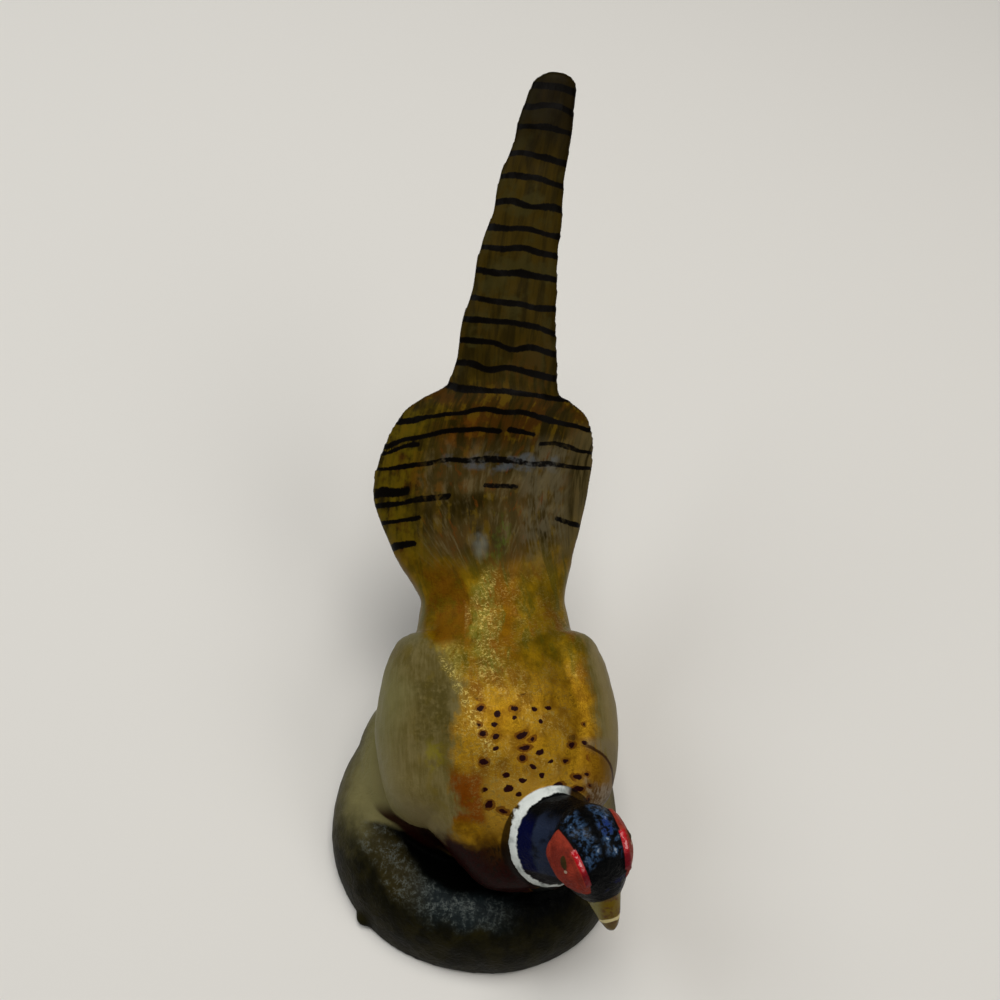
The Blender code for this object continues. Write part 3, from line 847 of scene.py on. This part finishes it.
grey = grey.under(THIN_GREY, above_mm.step(8.0, 3.0)*back_mm.step(23.0, 15.0)*0.8)
grey = grey.under(RIGHT_EDGE_GREY, right.step(0.35, 0.75)*0.65)
grey = grey.under(LEFT_EDGE_GREY, left.step(0.0, 0.15)*0.75)
grey = grey.under(FLANK_OLIVE, height_mm.frayed(mottle, 4).step(10.5, 4.0)*0.85)
grey = grey.under(FOOT_OLIVE, height_mm.frayed(mottle, 4).step(4.5, 1.0)*0.9)
colour = colour.under(grey, wing_mask)
gloss = gloss.blended(0.42+(fine_stroke-0.5)*0.16, wing_mask)
margin = bird_skin.band(1.16, 1.40, 0.10)*north_mm.step(-4.0, -6.0)*height_mm.step(8.0, 9.0)
colour = colour.under(DARK_RED, margin*east_mm.step(10.0, 6.0)*0.95)

# Gold bronze powder in amber oil colour over the back and rump.  It is streaked lengthwise and
# greener down the middle of the rump, with pale painted highlights along the streaks.
DEEP_RUMP_GOLD = pigment(92, 72, 4)
BRIGHT_RUMP_GOLD = pigment(128, 98, 6)
DEEP_BACK_GOLD = pigment(116, 80, 8)
BRIGHT_BACK_GOLD = pigment(160, 120, 20)
AMBER = pigment(104, 60, 5)
SHOULDER_GOLD = pigment(160, 122, 40)
GREEN_GOLD = pigment(84, 74, 10)
ORANGE_AMBER = pigment(120, 72, 6)
RUSSET = pigment(94, 50, 4)
SCUFF_BROWN = pigment(88, 58, 6)
PALE_GOLD = pigment(146, 132, 58)
LEAF_GREEN = pigment(100, 100, 34)
WARM_RUST = pigment(112, 52, 4)
PAINTED_GOLD_HIGHLIGHT = pigment(214, 193, 108)
LOBE_GREY = pigment(108, 96, 70)
LOBE_AMBER = pigment(98, 62, 5)
LOBE_LINE = pigment(46, 24, 6)
LOBE_FOOT_PALE = pigment(126, 114, 96)
LOBE_FOOT_DARK = pigment(78, 56, 34)
LOBE_BACK = 12.5
LOBE_ASIDE = 9.0
LOBE_RADIUS = 5.05

back_edge = (wander-0.5)*0.28+(fine_stroke-0.5)*0.14+(mottle-0.5)*0.22+(speck-0.5)*0.10
on_back = (right+back_edge).step(0.06, -0.10)*(left+back_edge*0.5).step(0.04, -0.08)*on_bird
rump_gold = mixed(DEEP_RUMP_GOLD, BRIGHT_RUMP_GOLD, mottle.step(0.34, 0.66))
back_gold = mixed(DEEP_BACK_GOLD, BRIGHT_BACK_GOLD, mottle.step(0.34, 0.66))
gold = mixed(rump_gold, back_gold, back_mm.frayed(wander, 8).step(31.0, 22.0))
gold = gold.under(AMBER, (cloud*0.5+stroke*0.5).step(0.50, 0.62)*0.6)
shoulder = back_mm.frayed(mottle, 6).band(9.0, 13.0, 2.5)*aside_mm.step(-5.0, -3.0)
gold = gold.under(SHOULDER_GOLD, shoulder*0.6)
gold = gold.under(GREEN_GOLD, (1-stroke).step(0.50, 0.64)*back_mm.step(22.0, 30.0)*0.8)
behind_band = green_gap.band(1.2, 3.4, 1.6)*back_mm.band(31.0, 49.0, 4.0)
gold = gold.under(ORANGE_AMBER, behind_band*(stroke+0.1).step(0.42, 0.60)*0.55)
russet = aside_mm.frayed(wander, 3).band(-8.4, -4.4, 1.4)*back_mm.frayed(cloud, 5).band(33.0, 43.0, 2.5)
gold = gold.under(RUSSET, russet*(mottle*0.6+grain*0.4+0.06).step(0.42, 0.60)*0.65)
scuffed = (grain*0.55+mottle*0.45).step(0.51, 0.60)*back_mm.band(10.0, 27.0, 3.0)
gold = gold.under(SCUFF_BROWN, scuffed*0.5)
pale_edge = aside_mm.frayed(mottle, 3).band(-8.6, -6.0, 1.2)*back_mm.frayed(cloud, 3).band(26.5, 31.5, 1.6)
gold = gold.under(PALE_GOLD, pale_edge*(mottle*0.6+grain*0.4).step(0.38, 0.58)*0.7)
green = on_top*green_gap.frayed(wander, 4).band(-0.6, 0.6, 1.9)*back_mm.band(28.0, 49.0, 4.0)
gold = gold.under(LEAF_GREEN, green*(fine_stroke*0.6+mottle*0.4).step(0.40, 0.58)*0.7)
warm = aside_mm.frayed(wander, 2).band(-7.6, -4.6, 1.1)*back_mm.frayed(cloud, 2).band(10.6, 14.6, 1.2)
gold = gold.under(WARM_RUST, warm*(mottle+0.15).step(0.35, 0.55)*0.9)
colour = colour.under(gold, on_back)
gloss = gloss.blended(0.38+(mottle-0.5)*0.2, on_back)
# Painted highlights: a pale foil-flecked streak, a band down the rump and scattered glints where the lamps
# shine on the gold.
lit_streak = (lit_streak_gap+(wander-0.5)).band(-0.3, 0.3, 1.0)*back_mm.band(18.0, 29.0, 3.0)
lit_band = green_gap.frayed(stroke, 6).frayed(cloud, 3).band(-0.5, 0.7, 1.6)*back_mm.band(27.0, 42.5, 2.5)
lit = lit_streak.most(lit_band*0.8)
lit = lit.most(back_mm.band(12.0, 30.0, 4.0)*share.band(-0.5, 0.5, 0.2)*(cloud+0.05).step(0.44, 0.62)*0.40)
lit = lit.most(back_mm.band(27.0, 42.0, 3.0)*aside_mm.step(-4.0, -1.0)*(cloud+0.05).step(0.44, 0.62)*0.28)
foil = (grain*0.75+speck*0.25).step(0.50, 0.60)
lit_over = on_top*on_back.most(lit_streak)
colour = colour.under(PAINTED_GOLD_HIGHLIGHT, lit*(0.10+0.90*foil)*lit_over*0.56)
lobe_gap = length_of((back_mm-LOBE_BACK).frayed(mottle, 0.6), aside_mm-LOBE_ASIDE)-LOBE_RADIUS
lobe_side = aside_mm.step(9.0, 10.6)*back_mm.band(12.4, 17.6, 1.2)*on_bird
lobe_strokes = lobe_gap.band(0.3, 2.0, 1.2)*lobe_side*(fine_stroke+0.1).step(0.40, 0.6)
colour = colour.under(LOBE_GREY, lobe_strokes*0.8)
colour = colour.under(LOBE_AMBER, lobe_gap.band(-3.0, -0.4, 1.0)*lobe_side*0.6)
colour = colour.under(LOBE_LINE, lobe_gap.band(-0.10, 0.12, 0.16)*lobe_side*0.9)
lobe_foot = (back_mm+aside_mm*0.35).frayed(mottle, 2.4).step(17.6, 16.6)*aside_mm.step(8.8, 10.0)
lobe_foot = lobe_foot*back_mm.step(9.4, 10.8)*above_mm.step(0.5, 2.5)*on_bird
foot_tone = mixed(LOBE_FOOT_PALE, LOBE_FOOT_DARK, (fine_stroke*0.7+mottle*0.3).step(0.42, 0.58))
colour = colour.under(foot_tone, lobe_foot*0.85)
metal = on_back*(0.28+0.3*foil)*(1-lobe_foot)

# Olive brown on the fan and the tail, thinned to ochre at the edges.  Grey strokes spread
# from the rump over the fan.
DARK_TAIL = pigment(34, 26, 2)
OLIVE_TAIL = pigment(56, 43, 4)
GREY_TAIL = pigment(54, 48, 18)
RED_TAIL = pigment(66, 38, 5)
OCHRE = pigment(88, 74, 6)
FAN_YELLOW = pigment(92, 72, 6)
FAN_RUST = pigment(94, 54, 8)
THIN_FAN_GREY = pigment(76, 62, 30)
THICK_FAN_GREY = pigment(98, 87, 58)
EDGE_GREY = pigment(92, 80, 48)
QUILL_RUST = pigment(92, 48, 8)
SMEAR_GREY = pigment(92, 84, 62)
SMEAR_BLUE = pigment(78, 86, 92)
BLOB_GREY = pigment(112, 114, 104)
SHOOT_GREEN = pigment(72, 86, 26)
TIP_BROWN = pigment(16, 11, 3)
RIM_GREY = pigment(104, 100, 72)
BLOB_BACK = 47.3
BLOB_ASIDE = -0.76

on_tail = (back_mm.frayed(cloud, 7)+(1-abs(share))*1.5).step(42.0, 49.0)*on_bird
brown = mixed(DARK_TAIL, OLIVE_TAIL, stroke.step(0.35, 0.65))
brown = brown.under(GREY_TAIL, (mottle*0.4+cloud*0.6).step(0.49, 0.60)*back_mm.step(66.0, 74.0)*0.7)
brown = brown.under(RED_TAIL, (cloud*0.5+stroke*0.5).step(0.49, 0.60)*back_mm.step(84.0, 62.0)*0.8)
ochre = abs(share-0.22).frayed(cloud, 0.7).step(0.62, 1.0)*back_mm.band(44.0, 64.0, 4.0)
brown = brown.under(OCHRE, ochre*(mottle*0.6+stroke*0.4).step(0.40, 0.58)*0.85)
yellow = (stroke*0.5+mottle*0.5).step(0.53, 0.60)*back_mm.band(44.0, 68.0, 4.0)
brown = brown.under(FAN_YELLOW, yellow*0.6)
rust = aside_mm.band(-9.0, -2.5, 2.0)*back_mm.band(55.0, 64.0, 2.0)
brown = brown.under(FAN_RUST, rust*(mottle*0.6+cloud*0.4).step(0.50, 0.60)*0.65)
feather = kept("feathers").noise(scale=2.2, detail=4.0, roughness=0.65, distortion=0.4)
grey_fan = on_top*back_mm.band(45.0, 59.0, 4.0)*(aside_mm-1.5).band(-8.5, 9.0, 3.0)
brown = brown.under(THIN_FAN_GREY, grey_fan*(cloud+0.1).step(0.42, 0.68)*0.5)
grey_strokes = grey_fan*feather.step(0.48, 0.66)*(cloud*0.6+mottle*0.4+0.1).step(0.46, 0.66)
brown = brown.under(THICK_FAN_GREY, grey_strokes*0.62)
edge_wash = share.step(0.66, 0.92)*back_mm.band(47.0, 63.0, 3.0)
brown = brown.under(EDGE_GREY, edge_wash*(stroke+0.1).step(0.38, 0.6)*0.75)
brown = brown.under(QUILL_RUST, grey_fan*feather.step(0.42, 0.33)*0.6)
smear = (aside_mm-9.0).band(-2.6, 2.0, 2.0)*back_mm.band(46.0, 60.0, 4.0)
brown = brown.under(SMEAR_GREY, smear*(fine_stroke*0.5+wander*0.5).step(0.40, 0.56)*0.6)
middle_smear = on_top*back_mm.frayed(wander, 3).band(58.3, 59.3, 0.9)*aside_mm.band(-5.0, 9.0, 2.0)
brown = brown.under(SMEAR_BLUE, middle_smear*(mottle+0.02).step(0.42, 0.60)*0.6)
blob_back = ((back_mm-BLOB_BACK)*0.50).frayed(mottle, 2.6)
blob = length_of(blob_back, (aside_mm-BLOB_ASIDE).frayed(cloud, 3.0)).step(1.6, 0.2)
brown = brown.under(BLOB_GREY, blob*on_top*(0.3+fine_stroke*0.5))
shoot = on_top*green_gap.frayed(wander, 5).band(-0.2, 0.2, 1.3)*back_mm.band(44.0, 50.0, 2.5)
brown = brown.under(SHOOT_GREEN, shoot*(fine_stroke*0.4+mottle*0.6).step(0.44, 0.60)*0.6)
colour = colour.under(brown, on_tail)
gloss = gloss.blended(0.44+(stroke-0.5)*0.2, on_tail)
metal = metal.blended(0.08, on_tail)
colour = colour.under(TIP_BROWN, back_mm.step(98.0, 109.0)*on_tail*0.75)
rim = abs(share).step(0.90, 1.0)*back_mm.band(34.0, 43.0, 3.0)*on_bird
colour = colour.under(RIM_GREY, rim*0.6)

# The black bars.  They are drawn across with a fine brush, and thinned where they cross
# the wet grey.
BAR_BLACK = pigment(7, 5, 3)
BAR_HALF = 0.37

brush = kept("brush").noise(scale=1.0, detail=2.0)
bar_half = BAR_HALF+back_mm.step(64.0, 70.0)*0.06+(brush-0.5)*0.48+back_mm.step(111.0, 112.5)*0.14
bar = (bar_gap.frayed(fine_stroke, 0.22).frayed(speck, 0.24)-bar_half).step(0.09, -0.07)
thinned = 1-grey_fan*(mottle*0.5+speck*0.5).step(0.46, 0.64)*0.7
bar = bar*upward.step(-0.15, 0.0)*on_bird*thinned
colour = colour.under(BAR_BLACK, bar)
gloss = gloss.blended(0.34, bar)

# Red brown on the breast, under the collar.  It is brushed down in dark strokes and runs
# on a little further under the left wing.
BREAST_BROWN = pigment(66, 46, 8)
BREAST_RED = pigment(32, 5, 3)
BREAST_STROKE = pigment(20, 12, 7)

under_left = aside_mm.step(3.0, 9.0)*above_mm.step(4.0, 1.0)
on_breast = (back_mm-under_left*4.5).frayed(wander, 4).step(9.8, 6.6)*on_bird
breast = mixed(BREAST_BROWN, BREAST_RED, above_mm.frayed(cloud, 4).step(8.2, 4.6))
breast = breast.under(BREAST_STROKE, fine_stroke.step(0.50, 0.62)*0.75)
colour = colour.under(breast, on_breast)
gloss = gloss.blended(0.36, on_breast)
metal = metal.blended(0.05, on_breast)

# Dark spots dotted over the mantle with the tip of the brush, some ringed with a thin
# brown line where the wet paint drew back.
RING_BROWN = pigment(86, 44, 6)
SPOT_BROWN = pigment(30, 6, 8)

dot_rule = {"voronoi_dimensions": "2D"}
dot_place = {"Vector": kept("dots"), "Scale": 1.0, "Randomness": 0.8}
to_dot = start.node("TexVoronoi", dot_rule, dot_place).frayed(speck, 0.26).frayed(mottle, 0.20)
dot_choice, dot_size, dot_ring = start.node("TexVoronoi", dot_rule, dot_place, output=1).axes()
mantle = back_mm.frayed(wander, 3).band(10.8, 23.0, 0.5)*aside_mm.frayed(cloud, 2).band(-3.9, 10.0, 0.5)
mantle = mantle*on_bird
chosen = dot_choice.step(0.15, 0.17)*mantle
dot_reach = 0.13+dot_size*0.10
ringed = (to_dot-dot_reach).band(0.0, 0.12, 0.05)*dot_ring.step(0.45, 0.6)
colour = colour.under(RING_BROWN, ringed*chosen*(mottle+0.1).step(0.42, 0.6)*0.8)
spot = (to_dot-dot_reach).step(0.03, -0.02)*chosen
colour = colour.under(SPOT_BROWN, spot)
metal = metal*(1-spot)

# The neck and head: black and navy inside a thick white collar, brick red cheeks, and a
# glossy red ridge over each eye.  Shade is painted at the root of the neck, and highlights on the crown,
# ridges and beak.
PAINTED_NECK_SHADE = pigment(14, 8, 5)
HEAD_BLACK = pigment(6, 7, 9)
NAVY = pigment(3, 7, 46)
SLATE = pigment(38, 47, 68)
CROWN_BLACK = pigment(5, 6, 7)
PAINTED_CROWN_SHEEN = pigment(48, 72, 102)
PAINTED_CROWN_GLINT = pigment(150, 164, 178)
PAINTED_FAR_SHEEN = pigment(26, 46, 104)
FRONT_BLUE = pigment(16, 20, 52)
BRICK = pigment(148, 54, 38)
DEEP_BRICK = pigment(122, 43, 32)
RIDGE_SCARLET = pigment(176, 14, 26)
RIDGE_CRIMSON = pigment(104, 10, 22)
PAINTED_RIDGE_GLINT = pigment(226, 150, 150)
EYE_BROWN = pigment(58, 44, 20)
EYE_GLINT = pigment(170, 150, 130)
CHIN_DARK = pigment(14, 9, 5)
CHIN_PALE = pigment(62, 54, 40)
HORN = pigment(100, 80, 4)
BROWN_HORN = pigment(80, 52, 4)
PALE_HORN = pigment(130, 126, 66)
PAINTED_BEAK_HIGHLIGHT = pigment(226, 210, 150)
BEAK_TIP = pigment(90, 70, 10)
MOUTH_BROWN = pigment(34, 24, 8)
COLLAR_WHITE = pigment(218, 223, 219)
COLLAR_SHADE = pigment(150, 158, 154)
IRIS_HALF_LENGTH = 0.85
IRIS_HALF_DEPTH = 0.5
GLINT_AHEAD = 0.9
GLINT_UP = 2.5

ahead = measured(HEAD_CENTRE, FACING)
beside = abs(measured(HEAD_CENTRE, HEAD_SIDE))
over = measured(HEAD_CENTRE, HEAD_TOP)
ring_across = measured(COLLAR_CENTRE, EAST)
ring_up = measured(COLLAR_CENTRE, COLLAR_UP)
neck_reach = COLLAR_REACH*1000
from_ring = length_of(measured(COLLAR_CENTRE, np.cross(COLLAR_UP, COLLAR_TILT)), ring_up)
near_neck = from_ring.step(neck_reach+0.2, neck_reach)
clear_of_back = bird_skin.step(1.30, 1.45)
head_side = near_neck.most(clear_of_back)
on_head = neck_mm.frayed(speck, 0.4).step(0.0, 0.3)*head_side*height_mm.step(16.0, 16.5)
# Painted shade: a dark band where the neck goes into the body, just below the collar.
colour = colour.under(PAINTED_NECK_SHADE, neck_mm.band(-1.5, 0.0, 0.5)*near_neck*0.85)
colour = colour.under(HEAD_BLACK, on_head)
navy = neck_mm.frayed(cloud, 1.5).band(0.5, 2.4, 0.5)*ring_up.frayed(cloud, 2).step(3.4, 1.8)
colour = colour.under(NAVY, navy*(mottle+0.35).step(0.4, 0.6)*on_head)
slate = neck_mm.frayed(mottle, 1.6).band(2.9, 5.0, 0.7)*ring_up.frayed(cloud, 3).step(4.4, 2.6)*on_head
colour = colour.under(SLATE, slate*(mottle+0.1).step(0.35, 0.6)*0.8)
cheek_top = beside+(CHEEK_TOP_DRAW*ahead)-CHEEK_TOP_BESIDE*1000
past_eye = ahead-EYE_AHEAD*1000
cheek_foot = over-(CHEEK_FOOT_UP*1000+CHEEK_FOOT_CURVE/1000*(past_eye*past_eye))
crown = cheek_top.step(0.10, -0.10)*over.step(0.2, 1.0)*neck_mm.step(4.0, 4.6)*on_head
colour = colour.under(CROWN_BLACK, crown)
# Painted sheen: blue and pale flecks across the crown where light glances off the black, deeper blue on the
# far side.
sheen = abs((cheek_top+1.6).frayed(mottle, 1.4)).step(1.5, 0.5)*(ahead-cheek_top*0.5).band(-4.0, 1.0, 0.9)
gleam = (speck*0.7+crinkle*0.3).step(0.44, 0.58)
colour = colour.under(PAINTED_CROWN_SHEEN, crown*gleam*sheen*0.95)
colour = colour.under(PAINTED_CROWN_GLINT, crown*sheen*(speck*0.6+crinkle*0.4).step(0.58, 0.66)*0.7)
far_sheen = length_of(ahead+2.5+(mottle-0.5), measured(HEAD_CENTRE, HEAD_SIDE)-1.6).step(1.3, 0.5)
colour = colour.under(PAINTED_FAR_SHEEN, crown*far_sheen*gleam*(speck+0.1).step(0.42, 0.6))
front_blue = ahead.band(4.0, 5.6, 0.6)*(mottle*0.6+speck*0.4).step(0.54, 0.62)*0.8
colour = colour.under(FRONT_BLUE, crown*front_blue)
on_cheek = cheek_top.frayed(mottle, 0.3).step(-0.06, 0.10)*cheek_foot.frayed(mottle, 0.4).step(-0.12, 0.12)
on_cheek = on_cheek*ahead.band(-3.8, 4.2, 0.2)*on_head*neck_mm.step(1.2, 1.6)
brick = mixed(BRICK, DEEP_BRICK, mottle.step(0.4, 0.6))
colour = colour.under(brick, on_cheek)
ridge_off = abs((cheek_top+RIDGE_INSET*1000).frayed(mottle, 0.2))
on_ridge = ridge_off.step(0.44, 0.32)*ahead.band(-1.3, 3.0, 0.3)*over.step(0.8, 1.4)*on_head
ridge_tone = mixed(RIDGE_SCARLET, RIDGE_CRIMSON, ahead.frayed(mottle, 1.5).step(0.2, 1.6))
colour = colour.under(ridge_tone, on_ridge)
# Painted highlight: pale pink flecks along the top of each red ridge.
ridge_gleam = on_ridge*ridge_off.step(0.26, 0.12)*speck.step(0.54, 0.60)*ahead.step(1.2, 0.4)
colour = colour.under(PAINTED_RIDGE_GLINT, ridge_gleam*0.8)
iris_along, iris_over = past_eye/IRIS_HALF_LENGTH, (over-EYE_UP*1000)/IRIS_HALF_DEPTH
eye_off = iris_along*iris_along+iris_over*iris_over
on_eye = eye_off.step(1.1, 0.8)*beside.step(3.1, 3.4)*on_head
colour = colour.under(EYE_BROWN, on_eye)
glint_along, glint_over = ahead-GLINT_AHEAD, over-GLINT_UP
glint = (glint_along*glint_along+glint_over*glint_over).step(0.05, 0.03)*beside.step(3.1, 3.4)*on_head
colour = colour.under(EYE_GLINT, glint)
chin = (ahead-over*0.4).step(3.2, 3.8)*over.step(2.4, 1.6)*on_head*(1-on_cheek)
colour = colour.under(mixed(CHIN_DARK, CHIN_PALE, mottle.step(0.60, 0.70)), chin*0.9)
on_beak = ahead.frayed(speck, 0.3).step(6.0, 6.3)*on_head
horn = mixed(HORN, BROWN_HORN, (speck*0.5+mottle*0.5).step(0.42, 0.56))
horn = horn.under(PALE_HORN, beside.step(0.9, 1.7)*0.6)
# Painted highlight: a pale band near the tip, where the beak turns down.
horn = horn.under(PAINTED_BEAK_HIGHLIGHT, ahead.frayed(mottle, 0.8).band(9.0, 9.4, 0.15)*0.8)
horn = horn.under(BEAK_TIP, ahead.step(9.5, 9.9)*0.7)
colour = colour.under(horn, on_beak)
mouth = abs(over-0.15+ahead*0.05).step(0.22, 0.10)*on_beak*ahead.step(10.0, 9.4)
colour = colour.under(MOUTH_BROWN, mouth*0.8)
open_nape = ring_across.step(*(edge*1000 for edge in OPEN_ACROSS))
open_nape = open_nape*ring_up.step(*(edge*1000 for edge in OPEN_UP))
white = abs(neck_mm.frayed(speck, 0.5).frayed(mottle, 0.7)).step(0.70, 0.50)*near_neck*(1-open_nape)
impasto = mixed(COLLAR_WHITE, COLLAR_SHADE, mottle.step(0.50, 0.72))
colour = colour.under(impasto, white)
gloss = gloss.blended(0.28, on_head)
gloss = gloss.blended(0.44, on_cheek*(1-on_ridge))
gloss = gloss.blended(0.16, on_ridge)
gloss = gloss.blended(0.22, on_beak)
gloss = gloss.blended(0.50, white)
metal = metal*(1-on_head)*(1-white)
coat = on_ridge*0.5+on_beak*0.20+crown*sheen*0.12

stipple = place.noise(scale=2600.0, detail=2.0, roughness=0.6)
off_bird = 1-on_bird
relief = off_bird*(crinkle*2.2+stipple*0.5)+on_bird*(grain*0.5*back_mm.step(46.0, 38.0)+fine_stroke*0.3)
relief = relief+neck_mm.step(-0.8, -0.4)*near_neck*crinkle*1.2
bump = start.node("Bump", {}, {"Strength": 0.5, "Distance": 0.00022, "Height": relief})
finish.inputs["Specular IOR Level"].default_value = 0.03
finish.inputs["Coat Roughness"].default_value = 0.16
for socket_name, layer in (("Base Color", colour), ("Roughness", gloss), ("Metallic", metal),
                           ("Coat Weight", coat), ("Normal", bump)):
    tree.links.new(layer.socket, finish.inputs[socket_name])
casting_mesh.materials.append(paint)


# The table top under the figurine.  It is plain, pale and matt, and it reaches far enough
# to fill every view.
TABLE_REACH = 1.2
TABLE_GREY = pigment(226, 224, 219)

ground_mesh = bpy.data.meshes.new("floor")
table_corners = [(east*TABLE_REACH, north*TABLE_REACH, 0)
                 for east, north in ((-1, -1), (1, -1), (1, 1), (-1, 1))]
ground_mesh.from_pydata(table_corners, [], [(0, 1, 2, 3)])
ground = bpy.data.objects.new("floor", ground_mesh)
bpy.context.scene.collection.objects.link(ground)
table_paint = bpy.data.materials.new("floor_pale")
table_paint.use_nodes = True
matt = table_paint.node_tree.nodes["Principled BSDF"]
matt.inputs["Base Color"].default_value = TABLE_GREY
matt.inputs["Roughness"].default_value = 0.9
ground_mesh.materials.append(table_paint)


# Soft studio light.  A broad lamp stands above and behind, a cooler window to the left and
# a weak fill to the right, in an even pale surround.
LAMP_AIM = (0, 0.02, 0.02)
SURROUND_STRENGTH = 0.12


def lamp(name, stand_at, size, power, tint):
    """A square soft light that stands at a place, in metres, and faces the bird's back."""
    made = bpy.data.lights.new(name, "AREA")
    made.shape = "SQUARE"
    made.size = size
    made.energy = power
    made.color = tint
    holder = bpy.data.objects.new(name, made)
    holder.location = stand_at
    holder.rotation_mode = "QUATERNION"
    holder.rotation_quaternion = (Vector(LAMP_AIM)-Vector(stand_at)).to_track_quat("-Z", "Y")
    bpy.context.scene.collection.objects.link(holder)


lamp("lamp_above", (-0.02, 0.13, 0.72), 0.42, 3.0, (1.0, 0.97, 0.93))
lamp("window_left", (-0.62, 0.10, 0.60), 0.40, 1.8, (0.93, 0.97, 1.0))
lamp("fill_right", (0.50, -0.20, 0.58), 0.45, 1.2, (1.0, 0.98, 0.95))
surround = bpy.data.worlds.new("surround")
surround.use_nodes = True
haze = surround.node_tree.nodes["Background"]
haze.inputs["Color"].default_value = (1.0, 0.985, 0.96, 1.0)
haze.inputs["Strength"].default_value = SURROUND_STRENGTH
bpy.context.scene.world = surround
bpy.context.scene.view_settings.view_transform = "Standard"


# The camera.  It is held close above the bird's breast and looks steeply down its back,
# with a lens whose focal length is its sensor's width.
CAMERA_PLACE = (-0.0060, -0.0511, 0.1470)
CAMERA_ACROSS = np.array((0.9816, 0.1530, 0.1138))
CAMERA_UP = np.array((-0.1907, 0.7876, 0.5859))
LENS_MM = 36.0
SENSOR_MM = 36.0
NEAREST = 0.005

camera_data = bpy.data.cameras.new("camera")
camera_data.lens = LENS_MM
camera_data.sensor_width = SENSOR_MM
camera_data.clip_start = NEAREST
camera = bpy.data.objects.new("camera", camera_data)
view_line = unit(np.cross(CAMERA_UP, CAMERA_ACROSS))
stand = np.eye(4)
stand[:3, 0] = unit(CAMERA_ACROSS)
stand[:3, 1] = unit(np.cross(CAMERA_ACROSS, view_line))
stand[:3, 2] = -view_line
stand[:3, 3] = CAMERA_PLACE
camera.matrix_world = Matrix(stand.tolist())
bpy.context.scene.collection.objects.link(camera)
bpy.context.scene.camera = camera
